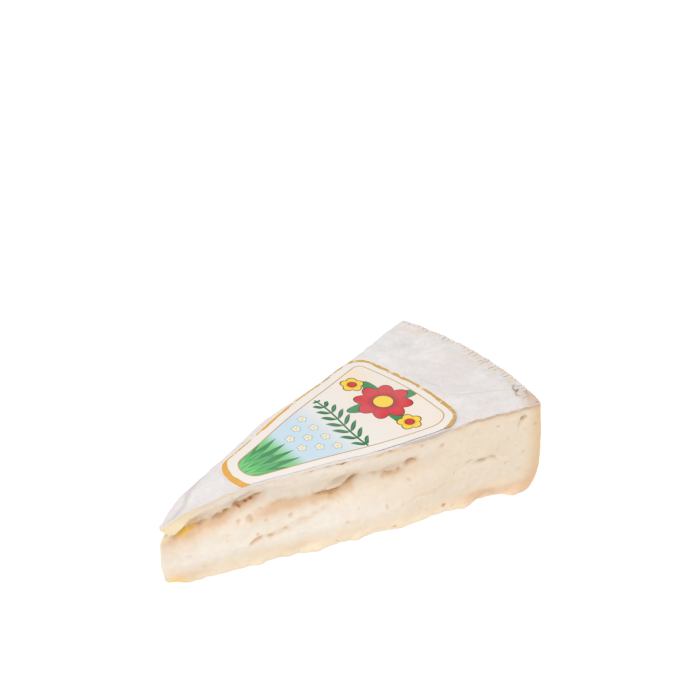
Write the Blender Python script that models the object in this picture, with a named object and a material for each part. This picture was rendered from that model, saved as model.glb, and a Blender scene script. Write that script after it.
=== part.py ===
"""A wedge of soft cheese with a white rind: one twelfth of a flat wheel, with the wheel's paper label on top.

The wedge rests flat on its underside, with its tip towards -X, its rim towards +X, the near cut face
towards -Y and the far one towards +Y. Plan positions are worked out from the wheel's centre, where the
tip is, and moved to the middle of the wedge when the meshes are made. All sizes are in metres, and u is
the share of the way from the tip to the rim.
"""

from math import asin, ceil, cos, hypot, pi, radians, sin

import bmesh
import bpy
import numpy as np
from mathutils import Vector, noise
from mathutils.geometry import delaunay_2d_cdt

MM = 0.001

# The wheel and the cut
WHEEL_RADIUS = 160 * MM
HALF_ANGLE = radians(15)
FULL_HEIGHT = 38.5 * MM
MIDDLE = (80.4 * MM, 0.7 * MM)

# The tip is blunt, hangs lower than the rest, is split by a cleft and is rounded back at its foot
TIP_HALF_WIDTH = 0.8 * MM
TIP_WIDENED = 0.3
TIP_REACH = 0.9 * MM
TIP_DROOP = 13 * MM
TIP_DROOP_FADE = 0.085
TIP_FOOT_SETBACK = 2.0 * MM
TIP_FOOT_HEIGHT = 9 * MM
CLEFT_DEPTH = 2.9 * MM
CLEFT_BELOW_TOP = 5.2 * MM
CLEFT_HALF_WIDTH = 1.8 * MM

# The top sags towards the near cut, rises towards the far one and the rim, and rolls over at both cuts
NEAR_SAG = 3.0 * MM
NEAR_SAG_STARTS = (0, 0.12)
NEAR_SAG_ENDS = (0.55, 0.85)
FAR_RISE = 1.2 * MM
FAR_RISE_STARTS = (0.3, 0.5)
FAR_DIP = 1.3 * MM
FAR_DIP_PLACE, FAR_DIP_LENGTH = 0.22, 0.16
RIM_RISE = 1.1 * MM
RIM_RISE_STARTS = 0.72
EDGE_ROLL = 0.4 * MM
EDGE_ROLL_FADE = 1.5 * MM
TOP_WAVE = 0.35 * MM
TOP_WAVE_STARTS = (0.05, 0.3)
TOP_WAVE_LENGTH = 28 * MM

# The rim bulges and widens towards the far cut, with a tight top edge and a wide round at its foot
RIM_BULGE = 0.5 * MM
RIM_BULGE_STARTS = 12 * MM
RIM_SPREAD = 1.4 * MM
RIM_BOW = 1.0 * MM
RIM_FOOT_ROUND = 5.6 * MM
RIM_FOOT_FADE = 3.8 * MM
RIM_TOP_ROUND = 0.4 * MM
RIM_TOP_FADE = 1.6 * MM
RIM_WAVE = 0.35 * MM
RIM_WAVE_LENGTH = 17 * MM

# Near the foot the near cut face swells out to a crest, and near the heel it is cut in instead
SWELL = 3.4 * MM
SWELL_CREST = 9 * MM
SWELL_TOP = 25 * MM
SWELL_CURVE = 1.5
TIP_CREST_RISE = 7 * MM
TIP_CREST_FADE = 0.08
HEEL_UNDERCUT = 1.6 * MM
HEEL_UNDERCUT_STARTS = (0.58, 0.88)
HEEL_RETURN = 1.4 * MM

# Under the top rind the near face has a lip, and below the lip a long hollow that dips as it leaves the tip
LIP = 0.8 * MM
LIP_HEIGHT = 8 * MM
LIP_ENDS = (0.5, 0.8)
HOLLOW = 3.0 * MM
HOLLOW_STARTS = 0.09
HOLLOW_ENDS = (0.5, 0.78)
HOLLOW_HALF_WIDTH = 4.6 * MM
HOLLOW_BELOW_TOP = 7.2 * MM
HOLLOW_DIP = 4.4 * MM
HOLLOW_DIPS = (0.22, 0.36)

# Pits and slits torn in the near face: u, distance below the top, half length, half height, depth, slope
PITS = (
    (0.075, 8.4 * MM, 7.0 * MM, 1.9 * MM, 2.2 * MM, 0.10),
    (0.210, 6.8 * MM, 6.5 * MM, 1.7 * MM, 2.3 * MM, 0.35),
    (0.470, 10.3 * MM, 6.5 * MM, 1.6 * MM, 2.3 * MM, 0.30),
    (0.588, 11.3 * MM, 4.5 * MM, 1.3 * MM, 1.6 * MM, 0.20),
    (0.643, 9.6 * MM, 4.0 * MM, 1.2 * MM, 1.4 * MM, 0.25),
    (0.840, 20.3 * MM, 6.0 * MM, 1.3 * MM, 1.0 * MM, 0.05),
    (0.948, 5.6 * MM, 2.6 * MM, 1.1 * MM, 1.4 * MM, 1.40),
)

# Flaps of the bottom rind that stand out past the near cut: u, half length, reach
FLAP_HEIGHT = 3.5 * MM
FLAPS = (
    (0.235, 3.2 * MM, 1.5 * MM),
    (0.385, 6.5 * MM, 1.9 * MM),
    (0.505, 5.0 * MM, 1.3 * MM),
    (0.655, 8.0 * MM, 1.3 * MM),
    (0.810, 7.5 * MM, 3.5 * MM),
    (0.960, 4.5 * MM, 2.6 * MM),
)

# The far cut face is cleaner: a soft belly, a faint hollow and a top edge that leans out in two places
FAR_BELLY = 1.2 * MM
FAR_BELLY_HEIGHT, FAR_BELLY_HALF_WIDTH = 13 * MM, 9 * MM
FAR_HOLLOW = 1.3 * MM
FAR_HOLLOW_BELOW_TOP, FAR_HOLLOW_HALF_WIDTH = 10 * MM, 4.5 * MM
FAR_LEANS = ((0.36, 0.11, 1.6 * MM), (0.97, 0.08, 0.6 * MM))
FAR_LEAN_HEIGHT = 12 * MM
FAR_TIP_SETBACK = 1.1 * MM
FAR_TIP_PLACE, FAR_TIP_LENGTH = 0.2, 0.14

# Both cut faces wave a little, fade out at the tip, and are ragged along the foot
CUT_STARTS = 0.06
CUT_WAVE = 0.45 * MM
CUT_WAVE_LENGTH = 16 * MM
RAGGED_FOOT = 0.5 * MM
RAGGED_FOOT_LENGTH = 6.5 * MM
RAGGED_FOOT_HEIGHT = 8 * MM
FOOT_EDGE_ROUND = 0.3 * MM
FOOT_EDGE_HEIGHT = 1.0 * MM

# The paper label: a rounded sector laid a little askew, then cut through with the cheese
LABEL_APEX = (-0.45 * MM, -3.5 * MM)
LABEL_TURN = radians(1.4)
LABEL_HALF_ANGLE = radians(15.5)
LABEL_NARROW_RADIUS = 10.5 * MM
LABEL_LENGTH = 127.4 * MM
LABEL_NEAR_CORNER = 13.3 * MM
LABEL_FAR_CORNER = 8.5 * MM
LABEL_THICKNESS = 0.3 * MM
LABEL_CLEARANCE = 0.3 * MM

# How finely each surface is divided
NEAR_COLUMNS = 92
FAR_COLUMNS = 42
RIM_COLUMNS = 28
LOW_LEVELS = (0, 0.025, 0.08, 0.15, 0.22, 0.29, 0.36, 0.43, 0.49, 0.55)
HIGH_LEVELS = (0.61, 0.66, 0.71, 0.76, 0.81, 0.86, 0.91, 0.96, 1)
TOP_SPACING = 3.4 * MM
UNDERSIDE_SPACING = 11 * MM
LABEL_EDGE_SPACING = 3.5 * MM
LABEL_SPACING = 5 * MM
CLEAR_OF_OUTLINE = 0.55

# Where in the random waves each surface starts
TOP_SEED, RIM_SEED, CUT_SEED, NEAR_FOOT_SEED, FAR_FOOT_SEED = 3.1, 5.3, 11.5, 7.7, 19.3

NEAR, FAR = -1, 1


def smooth(value, low, high):
    """0 below low, 1 above high, and an even curve between."""
    share = np.clip((value - low) / (high - low), 0, 1)
    return share * share * (3 - 2 * share)


def bump(value, centre, half_width):
    return np.exp(-(((value - centre) / half_width) ** 2))


def waviness(x, y, z, length, seed):
    """Soft random waves of about this length, between -1 and 1."""
    rows = np.broadcast_arrays(x, y, z)
    points = np.stack([row.ravel() for row in rows], axis=1) / length + seed
    values = [noise.noise(Vector(point)) for point in points]
    return np.array(values).reshape(rows[0].shape)


def top_height(x, y):
    """Height of the top rind at a plan position."""
    u = np.hypot(x, y) / WHEEL_RADIUS
    across = np.clip(np.arctan2(y, x) / HALF_ANGLE, -1, 1)
    towards_near = ((1 - across) / 2) ** 2
    towards_far = ((1 + across) / 2) ** 2
    edge_distance = (1 - np.abs(across)) * HALF_ANGLE * u * WHEEL_RADIUS
    height = FULL_HEIGHT - TIP_DROOP * np.exp(-u / TIP_DROOP_FADE)
    height -= NEAR_SAG * towards_near * smooth(u, *NEAR_SAG_STARTS) * (1 - smooth(u, *NEAR_SAG_ENDS))
    height += FAR_RISE * towards_far * smooth(u, *FAR_RISE_STARTS)
    height -= FAR_DIP * towards_far * bump(u, FAR_DIP_PLACE, FAR_DIP_LENGTH)
    height += RIM_RISE * smooth(u, RIM_RISE_STARTS, 1)
    height -= EDGE_ROLL * np.exp(-edge_distance / EDGE_ROLL_FADE)
    wave = TOP_WAVE * waviness(x, y, 0, TOP_WAVE_LENGTH, TOP_SEED)
    return height + wave * smooth(u, *TOP_WAVE_STARTS)


def rim_radius(z, below_top):
    """Radius of the rim at a height."""
    belly = RIM_BULGE * smooth(z, 0, RIM_BULGE_STARTS) * smooth(below_top, 0, RIM_BULGE_STARTS)
    foot = RIM_FOOT_ROUND * np.exp(-z / RIM_FOOT_FADE)
    shoulder = RIM_TOP_ROUND * np.exp(-below_top / RIM_TOP_FADE)
    return WHEEL_RADIUS + belly - foot - shoulder


def foot_edge(u, z, seed):
    """The ragged line of a cut face's foot, with its lowest edge rounded in."""
    ragged = RAGGED_FOOT * waviness(u * WHEEL_RADIUS, 0, z / 2, RAGGED_FOOT_LENGTH, seed)
    fading = 1 - smooth(z, RAGGED_FOOT_HEIGHT / 4, RAGGED_FOOT_HEIGHT)
    return ragged * fading - FOOT_EDGE_ROUND * (1 - smooth(z, 0, FOOT_EDGE_HEIGHT))


def near_offset(u, z, below_top):
    """How far the near cut face stands out from a plane through the wheel's axis."""
    swell = SWELL - (SWELL + HEEL_UNDERCUT) * smooth(u, *HEEL_UNDERCUT_STARTS)
    swell += HEEL_RETURN * smooth(u, HEEL_UNDERCUT_STARTS[1], 1)
    crest = SWELL_CREST + TIP_CREST_RISE * np.exp(-u / TIP_CREST_FADE)
    above_crest = np.clip((z - crest) / (SWELL_TOP - crest), 0, 1)
    offset = swell * (1 - above_crest) ** SWELL_CURVE

    offset += LIP * (1 - smooth(below_top, LIP_HEIGHT / 4, LIP_HEIGHT)) * (1 - smooth(u, *LIP_ENDS))
    hollow_place = HOLLOW_BELOW_TOP + HOLLOW_DIP * smooth(u, *HOLLOW_DIPS)
    hollow = HOLLOW * smooth(u, 0, HOLLOW_STARTS) * (1 - smooth(u, *HOLLOW_ENDS))
    offset -= hollow * bump(below_top, hollow_place, HOLLOW_HALF_WIDTH)

    for place, pit_below_top, half_length, half_height, depth, slope in PITS:
        along = (u - place) * WHEEL_RADIUS
        up = pit_below_top - below_top
        turned_along = along * cos(slope) + up * sin(slope)
        turned_up = up * cos(slope) - along * sin(slope)
        offset -= depth * bump(turned_along, 0, half_length) * bump(turned_up, 0, half_height)
    for place, half_length, reach in FLAPS:
        fading = 1 - smooth(z, FLAP_HEIGHT / 7, FLAP_HEIGHT)
        offset += reach * bump(u, place, half_length / WHEEL_RADIUS) * fading
    return offset + foot_edge(u, z, NEAR_FOOT_SEED)


def far_offset(u, z, below_top):
    """How far the far cut face stands out from a plane through the wheel's axis."""
    offset = FAR_BELLY * bump(z, FAR_BELLY_HEIGHT, FAR_BELLY_HALF_WIDTH)
    hollow = FAR_HOLLOW * smooth(u, 0, HOLLOW_STARTS)
    offset -= hollow * bump(below_top, FAR_HOLLOW_BELOW_TOP, FAR_HOLLOW_HALF_WIDTH)
    for place, length, lean in FAR_LEANS:
        offset += lean * bump(u, place, length) * (1 - smooth(below_top, 0, FAR_LEAN_HEIGHT))
    offset -= FAR_TIP_SETBACK * bump(u, FAR_TIP_PLACE, FAR_TIP_LENGTH)
    return offset + foot_edge(u, z, FAR_FOOT_SEED)


def tip_setback(z, below_top):
    """How far the tip's own edge lies behind the wheel's centre, below zero where it reaches past it."""
    foot = TIP_FOOT_SETBACK * (1 - smooth(z, 0, TIP_FOOT_HEIGHT))
    return foot + CLEFT_DEPTH * bump(below_top, CLEFT_BELOW_TOP, CLEFT_HALF_WIDTH) - TIP_REACH


def cut_plan(side, u, z, below_top):
    """Plan position on a cut face."""
    angle = side * HALF_ANGLE
    back = tip_setback(z, below_top)
    spread = RIM_SPREAD if side == FAR else 0
    reach = back + (rim_radius(z, below_top) + spread - back) * u
    offset = near_offset(u, z, below_top) if side == NEAR else far_offset(u, z, below_top)
    offset += CUT_WAVE * waviness(reach, z, side, CUT_WAVE_LENGTH, CUT_SEED)
    offset = offset * smooth(u, 0, CUT_STARTS) + TIP_HALF_WIDTH * (1 - smooth(u, 0, TIP_WIDENED))
    x = reach * cos(angle) - offset * sin(HALF_ANGLE)
    y = reach * sin(angle) + side * offset * cos(HALF_ANGLE)
    return x, y


def cut_face(side, u, levels):
    """Points of a cut face: one row for each level, one column for each u."""
    height = top_height(*cut_plan(side, u, FULL_HEIGHT, 0 * u))
    z = levels[:, None] * height[None, :]
    x, y = cut_plan(side, np.broadcast_to(u, z.shape), z, height - z)
    return np.stack([x, y, z], axis=-1)


def rim_face(near_corner, far_corner, columns, levels):
    """Points of the rim between the two cut faces' last columns."""
    share = np.arange(1, columns) / columns
    bow = np.sin(pi * share)
    rows = []
    for level, start, end in zip(levels, near_corner, far_corner):
        first, last = np.arctan2(start[1], start[0]), np.arctan2(end[1], end[0])
        angle = first + (last - first) * share
        z = level * top_height(WHEEL_RADIUS * np.cos(angle), WHEEL_RADIUS * np.sin(angle))
        wave = RIM_WAVE * waviness(angle * WHEEL_RADIUS, z, 0, RIM_WAVE_LENGTH, RIM_SEED)
        radius = (1 - share) * hypot(*start[:2]) + share * hypot(*end[:2]) + (wave + RIM_BOW) * bow
        rows.append(np.stack([radius * np.cos(angle), radius * np.sin(angle), z], axis=-1))
    return np.array(rows)


def wedge_rings(near_columns, far_columns, rim_columns, levels):
    """Closed rings of points round the wedge, from its foot to its top."""
    near = cut_face(NEAR, np.linspace(0, 1, near_columns + 1), levels)
    far = cut_face(FAR, np.linspace(1, 0, far_columns + 1), levels)
    rim = rim_face(near[:, -1], far[:, 0], rim_columns, levels)
    return np.concatenate([near, rim, far], axis=1)


def inside_points(outline, spacing, margin):
    """Points on an even triangular grid that lie inside an outline, clear of its edge."""
    low, high = outline.min(axis=0), outline.max(axis=0)
    ahead = np.roll(outline, -1, axis=0)
    run = ahead - outline
    row_height = spacing * sin(pi / 3)
    found = []
    for row in range(ceil((high[1] - low[1]) / row_height) + 1):
        y = low[1] + row * row_height
        crossed = (outline[:, 1] > y) != (ahead[:, 1] > y)
        crossings = outline[crossed, 0] + (y - outline[crossed, 1]) * run[crossed, 0] / run[crossed, 1]
        for x in np.arange(low[0] + spacing * (row % 2) / 2, high[0], spacing):
            to_point = np.array([x, y]) - outline
            share = np.clip((to_point * run).sum(axis=1) / (run * run).sum(axis=1), 0, 1)
            nearest = np.hypot(*(to_point - run * share[:, None]).T).min()
            if (crossings > x).sum() % 2 and nearest > margin:
                found.append((x, y))
    return found


def fill_outline(outline, spacing):
    """Plan points and triangles of a face inside an outline; the outline's own points come first."""
    points = [tuple(point) for point in outline] + inside_points(outline, spacing, CLEAR_OF_OUTLINE * spacing)
    loop = list(range(len(outline)))
    made = delaunay_2d_cdt([Vector(point) for point in points], [], [loop], 1, 1e-7)
    first_input = [sources[0] for sources in made[3]]
    triangles = [tuple(first_input[corner] for corner in face) for face in made[2]]
    return np.array(points), triangles


def band_faces(first_lower, first_upper, count):
    """Quads between two closed rings of count points."""
    quads = []
    for i in range(count):
        after = (i + 1) % count
        quads.append((first_lower + i, first_lower + after, first_upper + after, first_upper + i))
    return quads


def mesh_object(name, points, faces, material):
    """A closed mesh with its faces out, moved so that the wedge's middle is over the origin."""
    mesh = bpy.data.meshes.new(name)
    moved = np.array(points) - [*MIDDLE, 0]
    mesh.from_pydata(moved.tolist(), [], faces)
    shaped = bmesh.new()
    shaped.from_mesh(mesh)
    bmesh.ops.recalc_face_normals(shaped, faces=shaped.faces)
    bmesh.ops.triangulate(shaped, faces=shaped.faces)
    shaped.to_mesh(mesh)
    shaped.free()
    mesh.materials.append(material)
    mesh.shade_smooth()
    mesh.set_sharp_from_angle(angle=radians(40))
    made = bpy.data.objects.new(name, mesh)
    bpy.context.scene.collection.objects.link(made)
    return made


def cheese_wedge(material):
    """The wedge itself: rings up its sides, a rind top that rises and sags, and a flat underside."""
    levels = np.array(LOW_LEVELS + HIGH_LEVELS)
    rings = wedge_rings(NEAR_COLUMNS, FAR_COLUMNS, RIM_COLUMNS, levels)
    count = rings.shape[1]
    last_ring = (len(levels) - 1) * count
    points = list(rings.reshape(-1, 3))
    faces = []
    for start in range(0, last_ring, count):
        faces += band_faces(start, start + count, count)

    for ring_start, spacing in ((0, UNDERSIDE_SPACING), (last_ring, TOP_SPACING)):
        is_top = ring_start == last_ring
        outline = rings[-1 if is_top else 0][:, :2]
        plan, triangles = fill_outline(outline, spacing)
        inner = plan[count:]
        height = top_height(inner[:, 0], inner[:, 1]) if is_top else np.zeros(len(inner))
        place = list(range(ring_start, ring_start + count))
        place += range(len(points), len(points) + len(inner))
        points += list(np.column_stack([inner, height]))
        faces += [tuple(place[corner] for corner in triangle) for triangle in triangles]
    return mesh_object("cheese", points, faces, material)


def arc(centre, radius, start, end, spacing):
    """Points along a round stretch of an outline, without its last point."""
    steps = max(2, ceil(abs(end - start) * radius / spacing))
    angles = start + (end - start) * np.arange(steps) / steps
    return [(centre[0] + radius * cos(a), centre[1] + radius * sin(a)) for a in angles]


def straight(start, end, spacing):
    """Points along a straight stretch of an outline, without its last point."""
    steps = max(1, ceil(hypot(*(end - start)) / spacing))
    return [tuple(start + (end - start) * i / steps) for i in range(steps)]


def label_outline(spacing):
    """The whole label: two straight sides, a round narrow end, and a wide end bowed about its apex."""
    turn = pi / 2 + LABEL_HALF_ANGLE
    narrow = np.array([LABEL_NARROW_RADIUS / sin(LABEL_HALF_ANGLE), 0])
    near_out = np.array([-sin(LABEL_HALF_ANGLE), -cos(LABEL_HALF_ANGLE)])
    near_angle = asin(LABEL_NEAR_CORNER / (LABEL_LENGTH - LABEL_NEAR_CORNER)) - LABEL_HALF_ANGLE
    near = (LABEL_LENGTH - LABEL_NEAR_CORNER) * np.array([cos(near_angle), sin(near_angle)])
    far_out = np.array([-sin(LABEL_HALF_ANGLE), cos(LABEL_HALF_ANGLE)])
    far_angle = LABEL_HALF_ANGLE - asin(LABEL_FAR_CORNER / (LABEL_LENGTH - LABEL_FAR_CORNER))
    far = (LABEL_LENGTH - LABEL_FAR_CORNER) * np.array([cos(far_angle), sin(far_angle)])

    points = arc(narrow, LABEL_NARROW_RADIUS, turn, 2 * pi - turn, spacing)
    points += straight(narrow + near_out * LABEL_NARROW_RADIUS, near + near_out * LABEL_NEAR_CORNER, spacing)
    points += arc(near, LABEL_NEAR_CORNER, -turn, near_angle, spacing)
    points += arc((0, 0), LABEL_LENGTH, near_angle, far_angle, spacing)
    points += arc(far, LABEL_FAR_CORNER, far_angle, turn, spacing)
    points += straight(far + far_out * LABEL_FAR_CORNER, narrow + far_out * LABEL_NARROW_RADIUS, spacing)
    turned = np.array([[cos(LABEL_TURN), sin(LABEL_TURN)], [-sin(LABEL_TURN), cos(LABEL_TURN)]])
    return np.array(points) @ turned + LABEL_APEX


def cut_to_wedge(outline):
    """Moves the points of an outline that lie past a cut back onto the cut's top edge."""
    kept = outline.copy()
    for side in (NEAR, FAR):
        along = np.array([cos(HALF_ANGLE), side * sin(HALF_ANGLE)])
        out = np.array([-sin(HALF_ANGLE), side * cos(HALF_ANGLE)])
        u = kept @ along / WHEEL_RADIUS
        edge = np.stack(cut_plan(side, u, FULL_HEIGHT, 0 * u), axis=1)
        past = np.maximum((kept - edge) @ out, 0)
        kept -= past[:, None] * out
    return kept


def paper_label(material):
    """The paper that is left on the wedge, just clear of the rind and following it."""
    outline = cut_to_wedge(label_outline(LABEL_EDGE_SPACING))
    plan, triangles = fill_outline(outline, LABEL_SPACING)
    under = top_height(plan[:, 0], plan[:, 1]) + LABEL_CLEARANCE
    over = under + LABEL_THICKNESS
    points = np.concatenate([np.column_stack([plan, under]), np.column_stack([plan, over])])
    upper = len(plan)
    faces = [tuple(corner + upper for corner in triangle) for triangle in triangles]
    faces += [tuple(reversed(triangle)) for triangle in triangles]
    faces += band_faces(0, upper, len(outline))
    return mesh_object("label", points, faces, material)


def plain_material(name, colour, roughness):
    material = bpy.data.materials.new(name)
    material.use_nodes = True
    shader = material.node_tree.nodes["Principled BSDF"]
    shader.inputs["Base Color"].default_value = (*colour, 1)
    shader.inputs["Roughness"].default_value = roughness
    shader.inputs["Metallic"].default_value = 0
    return material


def main():
    for old in list(bpy.data.objects):
        bpy.data.objects.remove(old)
    cheese_wedge(plain_material("soft cheese", (0.90, 0.80, 0.64), 0.55))
    paper_label(plain_material("printed paper", (0.86, 0.83, 0.78), 0.45))


main()
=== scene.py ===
"""The looks of a wedge of soft cheese with a white rind, with a printed paper label on its top.

The wedge is built again from the same named sizes as the CAD solid, on a much finer grid, with the torn
grooves, pits, cracks and rind marks that are too small for the solid. The label is built the same way. Plan
positions are worked out from the wheel's centre, where the tip is, and moved to the middle of the wedge when
a mesh is made. In these values u is the share of the way from the tip to the rim.
"""

from math import asin, ceil, cos, hypot, pi, radians, sin

import bmesh
import bpy
import numpy as np
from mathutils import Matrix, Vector, noise
from mathutils.geometry import delaunay_2d_cdt


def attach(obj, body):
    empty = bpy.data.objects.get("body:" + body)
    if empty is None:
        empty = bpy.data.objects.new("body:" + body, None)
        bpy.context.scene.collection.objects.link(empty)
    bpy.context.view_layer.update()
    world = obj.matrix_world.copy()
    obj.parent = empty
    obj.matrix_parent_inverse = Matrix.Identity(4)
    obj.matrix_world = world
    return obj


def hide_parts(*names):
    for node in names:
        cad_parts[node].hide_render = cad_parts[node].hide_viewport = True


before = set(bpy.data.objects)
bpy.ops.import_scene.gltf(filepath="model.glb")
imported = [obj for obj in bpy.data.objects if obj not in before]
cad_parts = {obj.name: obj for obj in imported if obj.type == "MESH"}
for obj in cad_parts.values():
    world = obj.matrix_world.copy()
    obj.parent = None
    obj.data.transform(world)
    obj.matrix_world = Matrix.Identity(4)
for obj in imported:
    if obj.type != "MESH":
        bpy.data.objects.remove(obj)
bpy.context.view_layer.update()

MM = 0.001

# The wheel and the cut
WHEEL_RADIUS = 160 * MM
HALF_ANGLE = radians(15)
FULL_HEIGHT = 38.5 * MM
MIDDLE = (80.4 * MM, 0.7 * MM)

# The tip is blunt, hangs lower than the rest, is split by a cleft and is rounded back at its foot
TIP_HALF_WIDTH = 0.8 * MM
TIP_WIDENED = 0.3
TIP_REACH = 0.9 * MM
TIP_DROOP = 13 * MM
TIP_DROOP_FADE = 0.085
TIP_FOOT_SETBACK = 2.0 * MM
TIP_FOOT_HEIGHT = 9 * MM
CLEFT_DEPTH = 2.9 * MM
CLEFT_BELOW_TOP = 5.2 * MM
CLEFT_HALF_WIDTH = 1.8 * MM

# The top sags towards the near cut, rises towards the far one and the rim, and rolls over at both cuts
NEAR_SAG = 3.0 * MM
NEAR_SAG_STARTS = (0, 0.12)
NEAR_SAG_ENDS = (0.55, 0.85)
FAR_RISE = 1.2 * MM
FAR_RISE_STARTS = (0.3, 0.5)
FAR_DIP = 1.3 * MM
FAR_DIP_PLACE, FAR_DIP_LENGTH = 0.22, 0.16
RIM_RISE = 1.1 * MM
RIM_RISE_STARTS = 0.72
EDGE_ROLL = 0.4 * MM
EDGE_ROLL_FADE = 1.5 * MM
TOP_WAVE = 0.35 * MM
TOP_WAVE_STARTS = (0.05, 0.3)
TOP_WAVE_LENGTH = 28 * MM

# The rim bulges and widens towards the far cut, with a tight top edge and a wide round at its foot
RIM_BULGE = 0.5 * MM
RIM_BULGE_STARTS = 12 * MM
RIM_SPREAD = 1.4 * MM
RIM_BOW = 1.0 * MM
RIM_FOOT_ROUND = 5.6 * MM
RIM_FOOT_FADE = 3.8 * MM
RIM_TOP_ROUND = 0.4 * MM
RIM_TOP_FADE = 1.6 * MM
RIM_WAVE = 0.35 * MM
RIM_WAVE_LENGTH = 17 * MM

# Near the foot the near cut face swells out to a crest, and near the heel it is cut in instead
SWELL = 3.4 * MM
SWELL_CREST = 9 * MM
SWELL_TOP = 25 * MM
SWELL_CURVE = 1.5
TIP_CREST_RISE = 7 * MM
TIP_CREST_FADE = 0.08
HEEL_UNDERCUT = 1.6 * MM
HEEL_UNDERCUT_STARTS = (0.58, 0.88)
HEEL_RETURN = 1.4 * MM

# Under the top rind the near face has a lip, and below the lip a long hollow that dips as it leaves the tip
LIP = 0.8 * MM
LIP_HEIGHT = 8 * MM
LIP_ENDS = (0.5, 0.8)
HOLLOW = 3.0 * MM
HOLLOW_STARTS = 0.09
HOLLOW_ENDS = (0.5, 0.78)
HOLLOW_HALF_WIDTH = 4.6 * MM
HOLLOW_BELOW_TOP = 7.2 * MM
HOLLOW_DIP = 4.4 * MM
HOLLOW_DIPS = (0.22, 0.36)

# Pits and slits torn in the near face: u, distance below the top, half length, half height, depth, slope
PITS = (
    (0.075, 8.4 * MM, 7.0 * MM, 1.9 * MM, 2.2 * MM, 0.10),
    (0.210, 6.8 * MM, 6.5 * MM, 1.7 * MM, 2.3 * MM, 0.35),
    (0.470, 10.3 * MM, 6.5 * MM, 1.6 * MM, 2.3 * MM, 0.30),
    (0.588, 11.3 * MM, 4.5 * MM, 1.3 * MM, 1.6 * MM, 0.20),
    (0.643, 9.6 * MM, 4.0 * MM, 1.2 * MM, 1.4 * MM, 0.25),
    (0.840, 20.3 * MM, 6.0 * MM, 1.3 * MM, 1.0 * MM, 0.05),
    (0.948, 5.6 * MM, 2.6 * MM, 1.1 * MM, 1.4 * MM, 1.40),
)

# Flaps of the bottom rind that stand out past the near cut: u, half length, reach
FLAP_HEIGHT = 3.5 * MM
FLAPS = (
    (0.235, 3.2 * MM, 1.5 * MM),
    (0.385, 6.5 * MM, 1.9 * MM),
    (0.505, 5.0 * MM, 1.3 * MM),
    (0.655, 8.0 * MM, 1.3 * MM),
    (0.810, 7.5 * MM, 3.5 * MM),
    (0.960, 4.5 * MM, 2.6 * MM),
)

# The far cut face is cleaner: a soft belly, a faint hollow and a top edge that leans out in two places
FAR_BELLY = 1.2 * MM
FAR_BELLY_HEIGHT, FAR_BELLY_HALF_WIDTH = 13 * MM, 9 * MM
FAR_HOLLOW = 1.3 * MM
FAR_HOLLOW_BELOW_TOP, FAR_HOLLOW_HALF_WIDTH = 10 * MM, 4.5 * MM
FAR_LEANS = ((0.36, 0.11, 1.6 * MM), (0.97, 0.08, 0.6 * MM))
FAR_LEAN_HEIGHT = 12 * MM
FAR_TIP_SETBACK = 1.1 * MM
FAR_TIP_PLACE, FAR_TIP_LENGTH = 0.2, 0.14

# Both cut faces wave a little, fade out at the tip, and are ragged along the foot
CUT_STARTS = 0.06
CUT_WAVE = 0.45 * MM
CUT_WAVE_LENGTH = 16 * MM
RAGGED_FOOT = 0.5 * MM
RAGGED_FOOT_LENGTH = 6.5 * MM
RAGGED_FOOT_HEIGHT = 8 * MM
FOOT_EDGE_ROUND = 0.3 * MM
FOOT_EDGE_HEIGHT = 1.0 * MM

# The paper label: a rounded sector laid a little askew, then cut through with the cheese
LABEL_APEX = (-0.45 * MM, -3.5 * MM)
LABEL_TURN = radians(1.4)
LABEL_HALF_ANGLE = radians(15.5)
LABEL_NARROW_RADIUS = 10.5 * MM
LABEL_LENGTH = 127.4 * MM
LABEL_NEAR_CORNER = 13.3 * MM
LABEL_FAR_CORNER = 8.5 * MM

# Fine marks, in millimetres. A groove is a line of (u, distance below the top), then its depth, how fast it
# fades above the line and below it, how much tan shade is painted just below it, how brown and how rusty it
# is
GROOVES = (
    (
        ((0.0, 5.2), (0.034, 7.8), (0.066, 9.8), (0.094, 9.9), (0.125, 9.7), (0.172, 10.6)),
        1.5, 0.9, 3.2, 1.0, 0.9, 0.0,
    ),
    (
        ((0.155, 10.9), (0.184, 10.2), (0.203, 9.5), (0.231, 8.6), (0.262, 7.2)),
        1.4, 0.7, 2.2, 0.9, 1.3, 0.4,
    ),
    (
        ((0.235, 13.4), (0.280, 13.2), (0.322, 13.4), (0.384, 14.1), (0.425, 14.6)),
        0.8, 1.0, 2.6, 0.7, 0.4, 0.0,
    ),
    (
        ((0.398, 14.4), (0.434, 14.8), (0.463, 14.0), (0.488, 12.6), (0.514, 10.6)),
        1.8, 0.7, 2.2, 1.0, 1.5, 0.4,
    ),
    (((0.540, 11.0), (0.562, 11.4)), 0.6, 0.6, 0.8, 0.5, 0.4, 0.0),
    (((0.574, 12.9), (0.600, 12.9), (0.624, 12.2)), 1.3, 0.6, 1.3, 0.8, 0.5, 0.1),
    (((0.634, 11.2), (0.666, 10.0)), 1.1, 0.6, 1.1, 0.8, 0.4, 0.0),
    (((0.797, 18.8), (0.815, 18.1)), 0.6, 0.5, 0.7, 0.5, 0.4, 0.0),
    (((0.831, 20.3), (0.853, 19.7)), 0.8, 0.5, 0.8, 0.6, 0.5, 0.0),
    (((0.862, 19.4), (0.872, 19.5), (0.879, 20.8)), 0.8, 0.5, 0.9, 0.7, 0.7, 0.3),
    (((0.957, 4.2), (0.950, 6.6)), 1.2, 0.7, 0.7, 0.5, 0.9, 0.5),
    (((0.945, 8.0), (0.939, 9.2)), 0.7, 0.6, 0.5, 0.5, 0.5, 0.1),
)
GROOVE_ENDS = ((-0.15, 0.2), (0.8, 1.15))
GROOVE_LEAST_DEPTH = 0.55
# Where the tan shade painted under a groove lies and how far it spreads, as shares of its fade below the line
GROOVE_SHADE_PLACE, GROOVE_SHADE_SPREAD = 0.35, 0.75
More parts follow.
